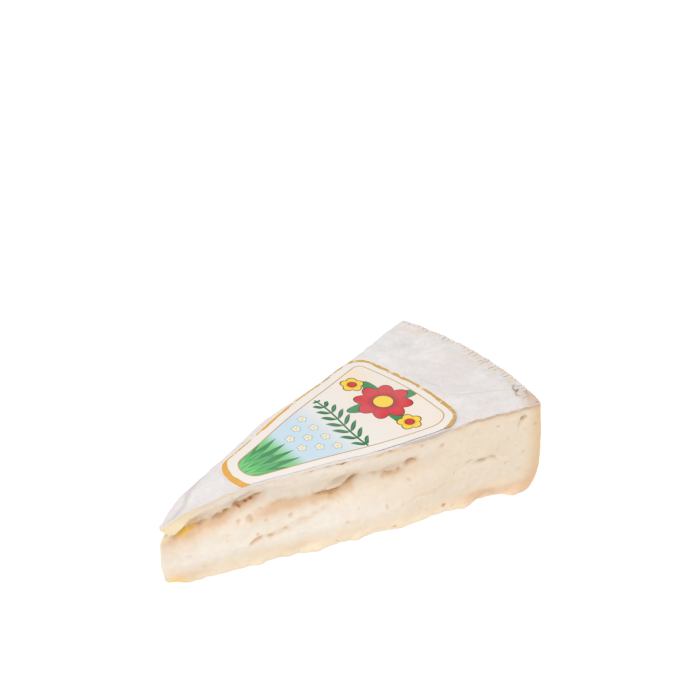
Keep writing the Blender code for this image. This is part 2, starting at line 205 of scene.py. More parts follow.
GROOVE_STAIN_HALF_WIDTH = 0.9
GROOVE_LEAST_STAIN = 0.35
RUST_PLACE, RUST_HALF_WIDTH, RUST_STRENGTH = 0.3, 0.8, 0.6

# A crack is a line, then its depth, half width, and how brown it is and how much tan shade is painted along
# it
CRACKS = (
    (
        ((0.209, 25.7), (0.222, 24.4), (0.234, 23.6), (0.275, 23.6), (0.291, 23.0), (0.319, 22.2)),
        0.9, 0.8, 0.9,
    ),
    (((0.319, 22.2), (0.341, 21.5), (0.366, 20.8), (0.400, 20.0), (0.430, 19.4)), 0.5, 0.8, 0.45),
    (((0.355, 17.4), (0.385, 17.8), (0.415, 16.6), (0.440, 16.4)), 0.5, 0.9, 0.4),
    (((0.861, 17.9), (0.875, 17.0), (0.894, 15.8), (0.909, 13.0), (0.914, 10.2)), 0.3, 0.4, 0.35),
    (((0.620, 26.2), (0.669, 25.0), (0.709, 25.2), (0.731, 23.5), (0.735, 21.6)), 0.3, 0.6, 0.2),
    (((0.745, 14.0), (0.800, 13.2), (0.850, 13.8)), 0.25, 0.5, 0.15),
    (((0.250, 5.4), (0.290, 6.4), (0.345, 5.6)), 0.35, 0.8, 0.2),
)
CRACK_ENDS = ((-0.1, 0.15), (0.85, 1.1))
CRACK_LEAST = 0.25
CRACK_SHADE_SPREAD = 1.4
CRACK_STAIN, CRACK_STAIN_SPREAD = 0.3, 0.7

# An eye is a round hole in the paste: u, distance below the top, radius and depth
EYES = (
    (0.197, 14.8, 1.1, 0.8), (0.222, 14.6, 1.3, 0.8), (0.262, 17.4, 0.7, 0.4), (0.325, 18.0, 1.0, 0.8),
    (0.238, 21.6, 0.7, 0.5), (0.497, 22.0, 0.6, 0.4), (0.641, 17.2, 0.8, 0.5), (0.619, 25.8, 0.6, 0.4),
    (0.575, 25.0, 1.1, 0.4), (0.728, 7.0, 1.3, 0.5), (0.672, 3.6, 1.0, 0.5), (0.905, 24.0, 0.7, 0.3),
    (0.470, 27.0, 0.7, 0.4), (0.760, 21.0, 0.6, 0.3), (0.985, 9.4, 0.8, 0.4), (0.880, 6.4, 0.7, 0.3),
)
EYE_EDGE = (0.2, 1.4)
# How much tan shade is painted inside an eye, and how much brown
EYE_SHADE, EYE_STAIN = 0.6, 0.2

# The far cut's own grooves, cracks and eyes, in the same order of values
FAR_GROOVES = (
    (((0.16, 9.0), (0.22, 9.8), (0.28, 9.2)), 0.9, 0.7, 2.0, 0.7, 0.4, 0.2),
    (((0.40, 12.0), (0.46, 11.2), (0.50, 11.4)), 0.9, 0.7, 1.6, 0.8, 0.5, 0.2),
    (((0.66, 8.6), (0.70, 8.2)), 0.8, 0.6, 1.0, 0.7, 0.4, 0.1),
    (((0.83, 17.0), (0.86, 16.2)), 0.8, 0.6, 1.0, 0.7, 0.5, 0.2),
)
FAR_CRACKS = (
    (((0.30, 24.0), (0.37, 22.6), (0.45, 22.9), (0.52, 21.6)), 0.6, 0.8, 0.6),
    (((0.60, 15.0), (0.68, 14.2), (0.74, 15.2), (0.80, 14.4)), 0.35, 0.6, 0.3),
)
FAR_EYES = (
    (0.20, 16.0, 1.0, 0.7), (0.27, 20.5, 0.7, 0.5), (0.35, 15.2, 0.8, 0.6), (0.56, 19.4, 1.0, 0.7),
    (0.63, 25.0, 0.7, 0.5), (0.76, 21.3, 0.9, 0.6), (0.90, 12.0, 0.8, 0.6), (0.93, 26.0, 0.7, 0.5),
)

# Rusty specks and tan areas: u, distance below the top, half length, half height and strength
SPECKS = (
    (0.206, 10.2, 0.7, 0.6, 1.0), (0.224, 9.2, 0.8, 0.6, 1.0), (0.238, 8.8, 0.9, 0.5, 0.9),
    (0.256, 7.4, 1.2, 0.7, 0.4), (0.744, 33.8, 1.5, 0.9, 0.8), (0.774, 35.8, 1.6, 0.7, 0.5),
    (0.603, 34.3, 1.3, 0.7, 0.7), (0.322, 31.2, 1.6, 0.8, 0.4), (0.122, 29.6, 1.8, 0.5, 0.5),
    (0.444, 33.5, 1.4, 0.6, 0.6), (0.013, 25.4, 1.5, 0.5, 0.4), (0.330, 1.0, 3.0, 0.4, 0.4),
    (0.385, 1.0, 2.5, 0.4, 0.6), (0.430, 1.1, 3.0, 0.5, 0.7), (0.462, 1.0, 2.2, 0.5, 0.9),
    (0.500, 0.9, 3.2, 0.4, 0.6), (0.592, 1.4, 1.6, 0.6, 0.7), (0.616, 1.6, 1.8, 0.5, 0.5),
)
FAR_SPECKS = ((0.24, 9.4, 1.1, 0.7, 0.7), (0.48, 35.0, 1.4, 0.7, 0.6), (0.71, 35.8, 1.2, 0.6, 0.5))
# Of the tan areas, the two long ones on the hollow under the lip, at u 0.30 and 0.64, are painted shade
TANS = (
    (0.855, 36.2, 8.0, 1.8, 1.0), (0.050, 26.0, 8.0, 3.0, 0.45), (0.995, 34.0, 5.0, 9.0, 0.8),
    (1.0, 10.0, 3.0, 16.0, 0.7), (0.330, 31.0, 6.0, 1.6, 0.3), (0.940, 37.0, 9.0, 2.5, 0.6),
    (0.035, 13.0, 7.0, 5.0, 0.2), (0.300, 14.0, 11.0, 2.4, 0.35), (0.640, 13.0, 12.0, 4.0, 0.3),
    (0.560, 1.3, 3.0, 0.6, 0.8), (0.600, 2.0, 2.2, 0.5, 0.8), (0.635, 2.5, 2.4, 0.5, 0.6),
)
FAR_TANS = ((1.0, 20.0, 4.0, 18.0, 0.7), (0.30, 34.0, 9.0, 2.0, 0.6), (0.62, 36.0, 10.0, 2.0, 0.6))

# Small pores scattered over both cut faces, with tan shade painted inside them
PORES = 70
PORE_PLACES, PORE_HEIGHTS = (8, 156), (3, 34)
PORE_RADIUS = (0.45, 0.9)
PORE_DEPTH = (0.10, 0.35)
PORE_EDGE = (0.1, 1.5)
PORE_SHADE = 0.3
PORE_SEED = 20

# How rough and uneven the cut paste is, and how far its marks come and go along their length
TEAR_WANDER = 0.9 * MM
TEAR_WANDER_LENGTH = 4.4 * MM
TEAR_FRAY = 0.45 * MM
TEAR_FRAY_LENGTH = 1.5 * MM
TEAR_BREAK_LENGTH = 2.8 * MM
TEAR_BREAKS = (-0.45, 0.35)
LUMPS = 0.45 * MM
LUMP_LENGTH = 8 * MM
SMEARS = 0.20 * MM
SMEAR_LENGTH = 2.6 * MM
SMEAR_STRETCH = 2.0
FOOT_FRAY = 0.9 * MM
FOOT_FRAY_LENGTH = 2.9 * MM
FOOT_FRAY_FADE = (0.6 * MM, 3.6 * MM)
FOOT_FRAY_TORN = 0.3

# The cut edge of the rind stands a little proud of the paste, with a ragged lower line, a brown seam under
# it and tan shade painted below the seam. In one place of the near face it is thicker and in shade. Distances
# below the top are in millimetres
CUT_RELIEF_STARTS = (0.3, 2.0)
RIND_THICKNESS = 0.65
RIND_EDGE_BLUR = (-0.25, 0.15)
RIND_THICKER = 1.4
RIND_THICK_PLACE, RIND_THICK_LENGTH = 0.69, 0.06
RIND_PROUD = 0.15 * MM
RIND_RAGGED = 0.7
RIND_RAGGED_LENGTH = 3.1 * MM
SEAM_HALF_WIDTH = 0.55
SEAM_HEEL = (0.72, 0.80)
SEAM_STAIN, SEAM_HEEL_STAIN = 0.35, 0.25
SEAM_SHADE, SEAM_HEEL_SHADE, SEAM_SHADE_SPREAD = 0.3, 0.2, 2.5

# The print of the ripening mat round the rim: short broken ticks across its top edge, longer towards the near
# cut, that fade out a little way down its side
TICKS = 37
TICK_DEPTH = 0.32 * MM
TICK_LENGTHS = (4.0 * MM, 10.0 * MM)
TICK_FAR_SHARE = 0.2
TICK_STRENGTHS = (0.45, 1.0)
TICK_HALF_WIDTH = 0.13
TICK_SHIFT = 0.2
TICK_TAPER = 0.55
TICK_BREAK_LENGTH = 2.3 * MM
TICK_TOP_BREAKS, TICK_SIDE_BREAKS = (-0.4, 0.1), (-0.25, 0.25)
TICK_WANDER = 0.30
TICK_WHOLE_EDGE = 2 * MM
TICK_INNER_FADE = 0.35
TICK_INNER_FADES = (1 * MM, 6 * MM)
TICK_SIDE_FADE = 6 * MM
TICK_CORNER_RISE = 8
TICK_SEED = 4

# The top rind's bloom, and its creases: lines of plan positions in millimetres, depth, half width, darkness
# of the shade painted along them
BLOOM_LUMPS = 0.42 * MM
BLOOM_LUMP_LENGTH = 6 * MM
BLOOM_FINE = 0.26 * MM
BLOOM_FINE_LENGTH = 2.6 * MM
CREASES = (
    (((129.7, -12.0), (134.1, -16.6), (143.2, -21.2), (153.4, -27.7)), 0.35, 0.5, 0.5),
    (((133.5, -6.0), (138.0, -9.5), (142.4, -13.3)), 0.2, 0.5, 0.25),
    (((129.9, 4.4), (131.2, -1.9), (132.9, -8.5)), 0.25, 0.5, 0.5),
    (((141.6, 27.6), (144.0, 26.0), (146.8, 24.3)), 0.3, 0.9, 0.35),
    (((140.4, 7.2), (141.2, 4.4), (143.2, 3.7)), 0.25, 0.8, 0.25),
    (((136.8, -27.0), (140.4, -26.4), (144.2, -27.2)), 0.2, 0.7, 0.2),
    (((156.6, -24.6), (153.6, -26.0), (152.6, -28.0), (153.8, -30.4)), 0.5, 0.5, 1.0),
    (((155.8, -27.6), (152.0, -29.6), (150.4, -31.6), (152.0, -33.6)), 0.5, 0.5, 1.0),
    (((157.4, -30.4), (155.0, -32.2), (154.6, -34.6)), 0.5, 0.5, 1.0),
    (((-1.5, -1.2), (4.5, -1.4), (9.6, -0.9), (14.9, 3.0), (19.0, 4.5), (27.0, 6.6)), 0.5, 1.0, 0.6),
    (((11.0, -4.6), (14.5, -5.6), (19.7, -6.6), (24.0, -7.4)), 0.35, 0.5, 0.7),
)
CREASE_ENDS = ((-0.1, 0.2), (0.8, 1.1))
SMOOTH_UNDER_LABEL = (-0.8 * MM, 0.6 * MM)

# How finely each surface is divided
NEAR_COLUMNS = 355
FAR_COLUMNS = 200
RIM_COLUMNS = 264
LEVELS = 84
TOP_CROWDING = 1.15
TOP_SPACING = 0.64 * MM
RIM_ROWS = 13
RIM_ROW_STEP = 0.60 * MM
CLEAR_OF_RIM_ROWS = 0.7
UNDERSIDE_SPACING = 2.6 * MM
UNDERSIDE_BELOW_TOP = 38.0
CLEAR_OF_OUTLINE = 0.55
INSIDE_BATCH = 400
SAME_POINT = 1e-7
SHARP_EDGE = radians(65)

# Where in the random waves each surface starts
TOP_SEED, RIM_SEED, CUT_SEED, NEAR_FOOT_SEED, FAR_FOOT_SEED = 3.1, 5.3, 11.5, 7.7, 19.3

NEAR, FAR = -1, 1


def smooth(value, low, high):
    """0 below low, 1 above high, and an even curve between."""
    share = np.clip((value - low) / (high - low), 0, 1)
    return share * share * (3 - 2 * share)


def bump(value, centre, half_width):
    return np.exp(-(((value - centre) / half_width) ** 2))


def faded_ends(share, ends):
    """1 along the middle of a line, fading to 0 over its two ends."""
    starts, stops = ends
    return smooth(share, *starts) * (1 - smooth(share, *stops))


def waviness(x, y, z, length, seed):
    """Soft random waves of about this length, between -1 and 1."""
    rows = np.broadcast_arrays(x, y, z)
    points = np.stack([row.ravel() for row in rows], axis=1) / length + seed
    values = [noise.noise(point) for point in points.tolist()]
    return np.array(values).reshape(rows[0].shape)


def label_inset(x, y):
    """How far a plan position lies inside the whole label's outline, below zero outside it."""
    right, up = x - LABEL_APEX[0], y - LABEL_APEX[1]
    along = right * cos(LABEL_TURN) + up * sin(LABEL_TURN)
    across = up * cos(LABEL_TURN) - right * sin(LABEL_TURN)
    corner = np.where(across < 0, LABEL_NEAR_CORNER, LABEL_FAR_CORNER)
    across = np.abs(across)
    from_side = along * sin(LABEL_HALF_ANGLE) - across * cos(LABEL_HALF_ANGLE)
    from_end = LABEL_LENGTH - np.hypot(along, across)
    into_corner = np.hypot(np.maximum(corner - from_side, 0), np.maximum(corner - from_end, 0))
    inset = np.minimum(np.minimum(from_side, from_end), corner - into_corner)
    narrow = LABEL_NARROW_RADIUS / sin(LABEL_HALF_ANGLE)
    along_side = along * cos(LABEL_HALF_ANGLE) + across * sin(LABEL_HALF_ANGLE)
    into_narrow_end = LABEL_NARROW_RADIUS - np.hypot(along - narrow, across)
    return np.where(along_side < narrow * cos(LABEL_HALF_ANGLE), into_narrow_end, inset)


def nearest_on_line(across, down, line):
    """Distance to a line of points, how far below the line, and what share of the line comes before there."""
    steps = np.diff(line, axis=0)
    lengths = np.hypot(*steps.T)
    passed = np.concatenate([[0], np.cumsum(lengths)]) / lengths.sum()
    best = np.full(across.shape, np.inf)
    below, share = np.zeros(across.shape), np.zeros(across.shape)
    for start, step, length, first, last in zip(line, steps, lengths, passed, passed[1:]):
        ran = np.clip(((across - start[0]) * step[0] + (down - start[1]) * step[1]) / length**2, 0, 1)
        gap_across = across - start[0] - ran * step[0]
        gap_down = down - start[1] - ran * step[1]
        distance = np.hypot(gap_across, gap_down)
        closer = distance < best
        best = np.where(closer, distance, best)
        below = np.where(closer, gap_down, below)
        share = np.where(closer, first + (last - first) * ran, share)
    return best, below, share


def tick_pattern(angle, wander=0):
    """How deep a tick is at an angle round the rim, from 0 to 1, and how long the tick there is."""
    chosen = np.random.default_rng(TICK_SEED)
    strengths = chosen.uniform(*TICK_STRENGTHS, TICKS + 1)
    lengths = chosen.uniform(*TICK_LENGTHS, TICKS + 1)
    shifts = chosen.uniform(-TICK_SHIFT, TICK_SHIFT, TICKS + 1)
    place = np.clip((angle / HALF_ANGLE + 1) / 2, 0, 0.9999) * TICKS
    which = place.astype(int)
    toward_near = smooth(-angle / HALF_ANGLE, -0.5, 0.5)
    depth = bump(place - which + wander, 0.5 + shifts[which], TICK_HALF_WIDTH) * strengths[which]
    return depth, lengths[which] * (TICK_FAR_SHARE + (1 - TICK_FAR_SHARE) * toward_near)


def top_height(x, y):
    """Height of the top rind at a plan position, without its fine relief."""
    u = np.hypot(x, y) / WHEEL_RADIUS
    across = np.clip(np.arctan2(y, x) / HALF_ANGLE, -1, 1)
    towards_near = ((1 - across) / 2) ** 2
    towards_far = ((1 + across) / 2) ** 2
    edge_distance = (1 - np.abs(across)) * HALF_ANGLE * u * WHEEL_RADIUS
    height = FULL_HEIGHT - TIP_DROOP * np.exp(-u / TIP_DROOP_FADE)
    height -= NEAR_SAG * towards_near * smooth(u, *NEAR_SAG_STARTS) * (1 - smooth(u, *NEAR_SAG_ENDS))
    height += FAR_RISE * towards_far * smooth(u, *FAR_RISE_STARTS)
    height -= FAR_DIP * towards_far * bump(u, FAR_DIP_PLACE, FAR_DIP_LENGTH)
    height += RIM_RISE * smooth(u, RIM_RISE_STARTS, 1)
    height -= EDGE_ROLL * np.exp(-edge_distance / EDGE_ROLL_FADE)
    wave = TOP_WAVE * waviness(x, y, 0, TOP_WAVE_LENGTH, TOP_SEED)
    return height + wave * smooth(u, *TOP_WAVE_STARTS)


def rind_marks(x, y):
    """Fine relief of the top rind at a plan position, with how ticked it is there and how much shade is
    painted in its creases.
    """
    bare = 1 - smooth(label_inset(x, y), *SMOOTH_UNDER_LABEL)
    relief = BLOOM_LUMPS * waviness(x, y, 1, BLOOM_LUMP_LENGTH, TOP_SEED)
    relief += BLOOM_FINE * waviness(x, y, 2, BLOOM_FINE_LENGTH, TOP_SEED)

    from_rim = np.maximum(WHEEL_RADIUS - np.hypot(x, y), 0)
    wander = TICK_WANDER * waviness(x, y, 3, TICK_BREAK_LENGTH, TOP_SEED)
    tick, length = tick_pattern(np.arctan2(y, x), wander * smooth(from_rim, 0, TICK_WHOLE_EDGE))
    broken = smooth(waviness(x, y, 4, TICK_BREAK_LENGTH, TOP_SEED), *TICK_TOP_BREAKS)
    tick *= 1 - smooth(from_rim, TICK_TAPER * length, length)
    tick *= np.maximum(broken, 1 - smooth(from_rim, 0, TICK_WHOLE_EDGE / 2))
    tick *= 1 - TICK_INNER_FADE * smooth(from_rim, *TICK_INNER_FADES)
    relief -= TICK_DEPTH * tick

    crease_shade = np.zeros(np.shape(x))
    for line, depth, half_width, darkness in CREASES:
        distance, _, share = nearest_on_line(x / MM, y / MM, np.array(line))
        strength = bump(distance, 0, half_width) * faded_ends(share, CREASE_ENDS)
        relief -= depth * MM * strength
        crease_shade += darkness * strength
    return relief * bare, tick * bare, crease_shade * bare


def rind_height(x, y):
    return top_height(x, y) + rind_marks(x, y)[0]


def rim_radius(z, below_top):
    """Radius of the rim at a height."""
    belly = RIM_BULGE * smooth(z, 0, RIM_BULGE_STARTS) * smooth(below_top, 0, RIM_BULGE_STARTS)
    foot = RIM_FOOT_ROUND * np.exp(-z / RIM_FOOT_FADE)
    shoulder = RIM_TOP_ROUND * np.exp(-below_top / RIM_TOP_FADE)
    return WHEEL_RADIUS + belly - foot - shoulder


def foot_edge(u, z, seed):
    """The ragged line of a cut face's foot, with its lowest edge rounded in."""
    ragged = RAGGED_FOOT * waviness(u * WHEEL_RADIUS, 0, z / 2, RAGGED_FOOT_LENGTH, seed)
    fading = 1 - smooth(z, RAGGED_FOOT_HEIGHT / 4, RAGGED_FOOT_HEIGHT)
    return ragged * fading - FOOT_EDGE_ROUND * (1 - smooth(z, 0, FOOT_EDGE_HEIGHT))


def near_offset(u, z, below_top):
    """How far the near cut face stands out from a plane through the wheel's axis, without its fine relief."""
    swell = SWELL - (SWELL + HEEL_UNDERCUT) * smooth(u, *HEEL_UNDERCUT_STARTS)
    swell += HEEL_RETURN * smooth(u, HEEL_UNDERCUT_STARTS[1], 1)
    crest = SWELL_CREST + TIP_CREST_RISE * np.exp(-u / TIP_CREST_FADE)
    above_crest = np.clip((z - crest) / (SWELL_TOP - crest), 0, 1)
    offset = swell * (1 - above_crest) ** SWELL_CURVE

    offset += LIP * (1 - smooth(below_top, LIP_HEIGHT / 4, LIP_HEIGHT)) * (1 - smooth(u, *LIP_ENDS))
    hollow_place = HOLLOW_BELOW_TOP + HOLLOW_DIP * smooth(u, *HOLLOW_DIPS)
    hollow = HOLLOW * smooth(u, 0, HOLLOW_STARTS) * (1 - smooth(u, *HOLLOW_ENDS))
    offset -= hollow * bump(below_top, hollow_place, HOLLOW_HALF_WIDTH)

    for place, pit_below_top, half_length, half_height, depth, slope in PITS:
        along = (u - place) * WHEEL_RADIUS
        up = pit_below_top - below_top
        turned_along = along * cos(slope) + up * sin(slope)
        turned_up = up * cos(slope) - along * sin(slope)
        offset -= depth * bump(turned_along, 0, half_length) * bump(turned_up, 0, half_height)
    for place, half_length, reach in FLAPS:
        fading = 1 - smooth(z, FLAP_HEIGHT / 7, FLAP_HEIGHT)
        offset += reach * bump(u, place, half_length / WHEEL_RADIUS) * fading
    return offset + foot_edge(u, z, NEAR_FOOT_SEED)


def far_offset(u, z, below_top):
    """How far the far cut face stands out from a plane through the wheel's axis, without its fine relief."""
    offset = FAR_BELLY * bump(z, FAR_BELLY_HEIGHT, FAR_BELLY_HALF_WIDTH)
    hollow = FAR_HOLLOW * smooth(u, 0, HOLLOW_STARTS)
    offset -= hollow * bump(below_top, FAR_HOLLOW_BELOW_TOP, FAR_HOLLOW_HALF_WIDTH)
    for place, length, lean in FAR_LEANS:
        offset += lean * bump(u, place, length) * (1 - smooth(below_top, 0, FAR_LEAN_HEIGHT))
    offset -= FAR_TIP_SETBACK * bump(u, FAR_TIP_PLACE, FAR_TIP_LENGTH)
    return offset + foot_edge(u, z, FAR_FOOT_SEED)


def tip_setback(z, below_top):
    """How far the tip's own edge lies behind the wheel's centre, below zero where it reaches past it."""
    foot = TIP_FOOT_SETBACK * (1 - smooth(z, 0, TIP_FOOT_HEIGHT))
    return foot + CLEFT_DEPTH * bump(below_top, CLEFT_BELOW_TOP, CLEFT_HALF_WIDTH) - TIP_REACH


def cut_marks(side, u, z, below_top):
    """Fine relief of a cut face, then how tan (mostly painted shade), brown, rusty and covered by rind it is,
    from 0 to 1.
    """
    if side == NEAR:
        grooves, cracks, eyes, specks, tans = GROOVES, CRACKS, EYES, SPECKS, TANS
    else:
        grooves, cracks, eyes, specks, tans = FAR_GROOVES, FAR_CRACKS, FAR_EYES, FAR_SPECKS, FAR_TANS
    along = u * WHEEL_RADIUS
    wander = TEAR_WANDER * waviness(along, side, z, TEAR_WANDER_LENGTH, CUT_SEED)
    fray = TEAR_FRAY * waviness(along, side, z, TEAR_FRAY_LENGTH, CUT_SEED)
    across = (along + wander + fray) / MM
    down = (below_top + wander - fray) / MM
    broken = waviness(along, side + 2, z, TEAR_BREAK_LENGTH, CUT_SEED)
    torn = smooth(broken, *TEAR_BREAKS)

    relief = LUMPS * waviness(along, side, z, LUMP_LENGTH, CUT_SEED)
    relief += SMEARS * waviness(along / SMEAR_STRETCH, side, z, SMEAR_LENGTH, CUT_SEED)
    tan, stain, rust = np.zeros(u.shape), np.zeros(u.shape), np.zeros(u.shape)
    per_u = np.array([WHEEL_RADIUS / MM, 1])

    for line, depth, above, below, tan_shade, brown, rusty in grooves:
        distance, under, share = nearest_on_line(across, down, np.array(line) * per_u)
        taper = faded_ends(share, GROOVE_ENDS)
        profile = np.where(under > 0, np.exp(-distance / below), bump(distance, 0, above))
        relief -= depth * MM * taper * profile * (GROOVE_LEAST_DEPTH + (1 - GROOVE_LEAST_DEPTH) * torn)
        # Tan shade painted just below the groove's line, under the overhang
        below_line = np.where(under > 0, distance, -distance)
        tan += tan_shade * taper * bump(below_line, GROOVE_SHADE_PLACE * below, GROOVE_SHADE_SPREAD * below)
        stained = bump(distance, 0, GROOVE_STAIN_HALF_WIDTH)
        stain += brown * taper * stained * (GROOVE_LEAST_STAIN + (1 - GROOVE_LEAST_STAIN) * torn)
        rust += rusty * taper * bump(distance, RUST_PLACE, RUST_HALF_WIDTH) * torn * RUST_STRENGTH
    for line, depth, half_width, brown in cracks:
        distance, _, share = nearest_on_line(across, down, np.array(line) * per_u)
        taper = faded_ends(share, CRACK_ENDS) * (CRACK_LEAST + (1 - CRACK_LEAST) * torn)
        relief -= depth * MM * taper * bump(distance, 0, half_width)
        # Tan shade painted along the crack's recess
        tan += brown * taper * bump(distance, 0, CRACK_SHADE_SPREAD * half_width)
        stain += CRACK_STAIN * brown * taper * bump(distance, 0, CRACK_STAIN_SPREAD * half_width)
    for place, eye_below, radius, depth in eyes:
        distance = np.hypot(across - place * per_u[0], down - eye_below)
        inside = 1 - smooth(distance, EYE_EDGE[0] * radius, EYE_EDGE[1] * radius)
        relief -= depth * MM * inside
        # Tan shade painted inside the eye
        tan += EYE_SHADE * inside
        stain += EYE_STAIN * inside
    for marked, areas in ((rust, specks), (tan, tans)):
        for place, middle, half_length, half_height, strength in areas:
            marked += strength * bump(across, place * per_u[0], half_length) * bump(down, middle, half_height)

    chosen = np.random.default_rng(PORE_SEED + side)
    for _ in range(PORES):
        place, height = chosen.uniform(*PORE_PLACES), chosen.uniform(*PORE_HEIGHTS)
        radius, depth = chosen.uniform(*PORE_RADIUS), chosen.uniform(*PORE_DEPTH)
        distance = np.hypot(across - place, z / MM - height)
        inside = 1 - smooth(distance, PORE_EDGE[0] * radius, PORE_EDGE[1] * radius)
        relief -= depth * MM * inside
        # Tan shade painted inside the pore
        tan += PORE_SHADE * inside

    ragged = RIND_RAGGED * waviness(along, 0, side, RIND_RAGGED_LENGTH, CUT_SEED)
    ragged += RIND_RAGGED / 2 * waviness(along, 0, side, RIND_RAGGED_LENGTH / 3, CUT_SEED)
    edge = RIND_THICKNESS + ragged
    if side == NEAR:
        edge = edge + RIND_THICKER * bump(u, RIND_THICK_PLACE, RIND_THICK_LENGTH)
    rind = 1 - smooth(below_top / MM, edge + RIND_EDGE_BLUR[0], edge + RIND_EDGE_BLUR[1])
    # Under the rind's edge: a brown seam line, and a wider band of tan shade painted below it, both stronger
    # at the heel
    seam = edge + SEAM_HALF_WIDTH
    at_heel = smooth(u, *SEAM_HEEL)
    stained = bump(below_top / MM, seam, SEAM_HALF_WIDTH)
    tan_shade = bump(below_top / MM, seam, SEAM_SHADE_SPREAD * SEAM_HALF_WIDTH)
    stain += stained * (SEAM_STAIN + SEAM_HEEL_STAIN * at_heel) * torn
    tan += tan_shade * (SEAM_SHADE + SEAM_HEEL_SHADE * at_heel)
    relief = relief * smooth(below_top / MM, *CUT_RELIEF_STARTS) + RIND_PROUD * rind
    frayed = waviness(along, side, z / 3, FOOT_FRAY_LENGTH, CUT_SEED) + FOOT_FRAY_TORN * broken
    relief += FOOT_FRAY * frayed * (1 - smooth(z, *FOOT_FRAY_FADE))
    return relief, np.minimum(tan, 1), np.minimum(stain, 1), np.minimum(rust, 1), rind


def cut_plan(side, u, z, below_top, fine=0):
    """Plan position on a cut face, with its fine relief where that is given."""
    angle = side * HALF_ANGLE
    back = tip_setback(z, below_top)
    spread = RIM_SPREAD if side == FAR else 0
    reach = back + (rim_radius(z, below_top) + spread - back) * u
    offset = near_offset(u, z, below_top) if side == NEAR else far_offset(u, z, below_top)
    offset += CUT_WAVE * waviness(reach, z, side, CUT_WAVE_LENGTH, CUT_SEED) + fine
    offset = offset * smooth(u, 0, CUT_STARTS) + TIP_HALF_WIDTH * (1 - smooth(u, 0, TIP_WIDENED))
    x = reach * cos(angle) - offset * sin(HALF_ANGLE)
    y = reach * sin(angle) + side * offset * cos(HALF_ANGLE)
    return x, y


def cut_face(side, u, levels):
    """Points of a cut face, one row for each level and one column for each u, and its marks."""
    height = rind_height(*cut_plan(side, u, FULL_HEIGHT, 0 * u))
    z = levels[:, None] * height[None, :]
    u = np.broadcast_to(u, z.shape)
    relief, tan, stain, rust, rind = cut_marks(side, u, z, height - z)
    x, y = cut_plan(side, u, z, height - z, relief)
    marks = {"along": u, "below_top": (height - z) / MM}
    marks.update({"tan": tan, "stain": stain, "rust": rust, "rind_edge": rind})
    return np.stack([x, y, z], axis=-1), marks


def rim_face(near_corner, far_corner, columns, levels):
    """Points of the rim between the two cut faces' last columns, and its marks."""
    share = np.arange(1, columns) / columns
    bow = np.sin(pi * share)
    rows, ticks, belows = [], [], []
    for level, start, end in zip(levels, near_corner, far_corner):
        first, last = np.arctan2(start[1], start[0]), np.arctan2(end[1], end[0])
        angle = first + (last - first) * share
        top = rind_height(WHEEL_RADIUS * np.cos(angle), WHEEL_RADIUS * np.sin(angle))
        z = level * top
        wave = RIM_WAVE * waviness(angle * WHEEL_RADIUS, z, 0, RIM_WAVE_LENGTH, RIM_SEED)
        wave += BLOOM_LUMPS * waviness(angle * WHEEL_RADIUS, z, 3, BLOOM_LUMP_LENGTH, RIM_SEED)
        wave += BLOOM_FINE * waviness(angle * WHEEL_RADIUS, z, 4, BLOOM_FINE_LENGTH, RIM_SEED)
        from_top = smooth(top - z, 0, TICK_WHOLE_EDGE)
        wander = TICK_WANDER * waviness(angle * WHEEL_RADIUS, z / 2, 5, TICK_BREAK_LENGTH, RIM_SEED)
        tick = tick_pattern(angle, wander * from_top)[0]
        broken = waviness(angle * WHEEL_RADIUS, z / 2, 6, TICK_BREAK_LENGTH, RIM_SEED)
        tick *= np.maximum(smooth(broken, *TICK_SIDE_BREAKS), 1 - from_top)
        tick *= bump(top - z, 0, TICK_SIDE_FADE)
        radius = (1 - share) * hypot(*start[:2]) + share * hypot(*end[:2])
        radius += (wave + RIM_BOW) * bow - TICK_DEPTH * tick * np.minimum(TICK_CORNER_RISE * bow, 1)
        rows.append(np.stack([radius * np.cos(angle), radius * np.sin(angle), z], axis=-1))
        ticks.append(tick)
        belows.append((top - z) / MM)
    rows, ticks = np.array(rows), np.array(ticks)
    return rows, {"along": np.ones(ticks.shape), "below_top": np.array(belows), "tick": ticks}


MARK_NAMES = ("along", "below_top", "tan", "stain", "rust", "rind_edge", "tick", "crease_shade")


def joined_marks(parts):
    """One flat row of values for each kind of mark, with 0 where a surface has no such mark."""
    joined = {}
    for name in MARK_NAMES:
        rows = [marks.get(name, np.zeros(shape)) for marks, shape in parts]
        joined[name] = np.concatenate(rows, axis=-1).ravel()
    return joined


def wedge_rings(levels):
    """Closed rings of points round the wedge, from its foot to its top, and their marks."""
    near, near_marks = cut_face(NEAR, np.linspace(0, 1, NEAR_COLUMNS + 1), levels)
    far, far_marks = cut_face(FAR, np.linspace(1, 0, FAR_COLUMNS + 1), levels)
    rim, rim_marks = rim_face(near[:, -1], far[:, 0], RIM_COLUMNS, levels)
    parts = [(near_marks, near.shape[:2]), (rim_marks, rim.shape[:2]), (far_marks, far.shape[:2])]
    return np.concatenate([near, rim, far], axis=1), joined_marks(parts)


def even_grid(outline, spacing):
    """Points on an even triangular grid that covers an outline."""
    low, high = outline.min(axis=0), outline.max(axis=0)
    row_height = spacing * sin(pi / 3)
    rows = []
    for row in range(ceil((high[1] - low[1]) / row_height) + 1):
        x = np.arange(low[0] + spacing * (row % 2) / 2, high[0], spacing)
        rows.append(np.column_stack([x, np.full(len(x), low[1] + row * row_height)]))
    return np.concatenate(rows)


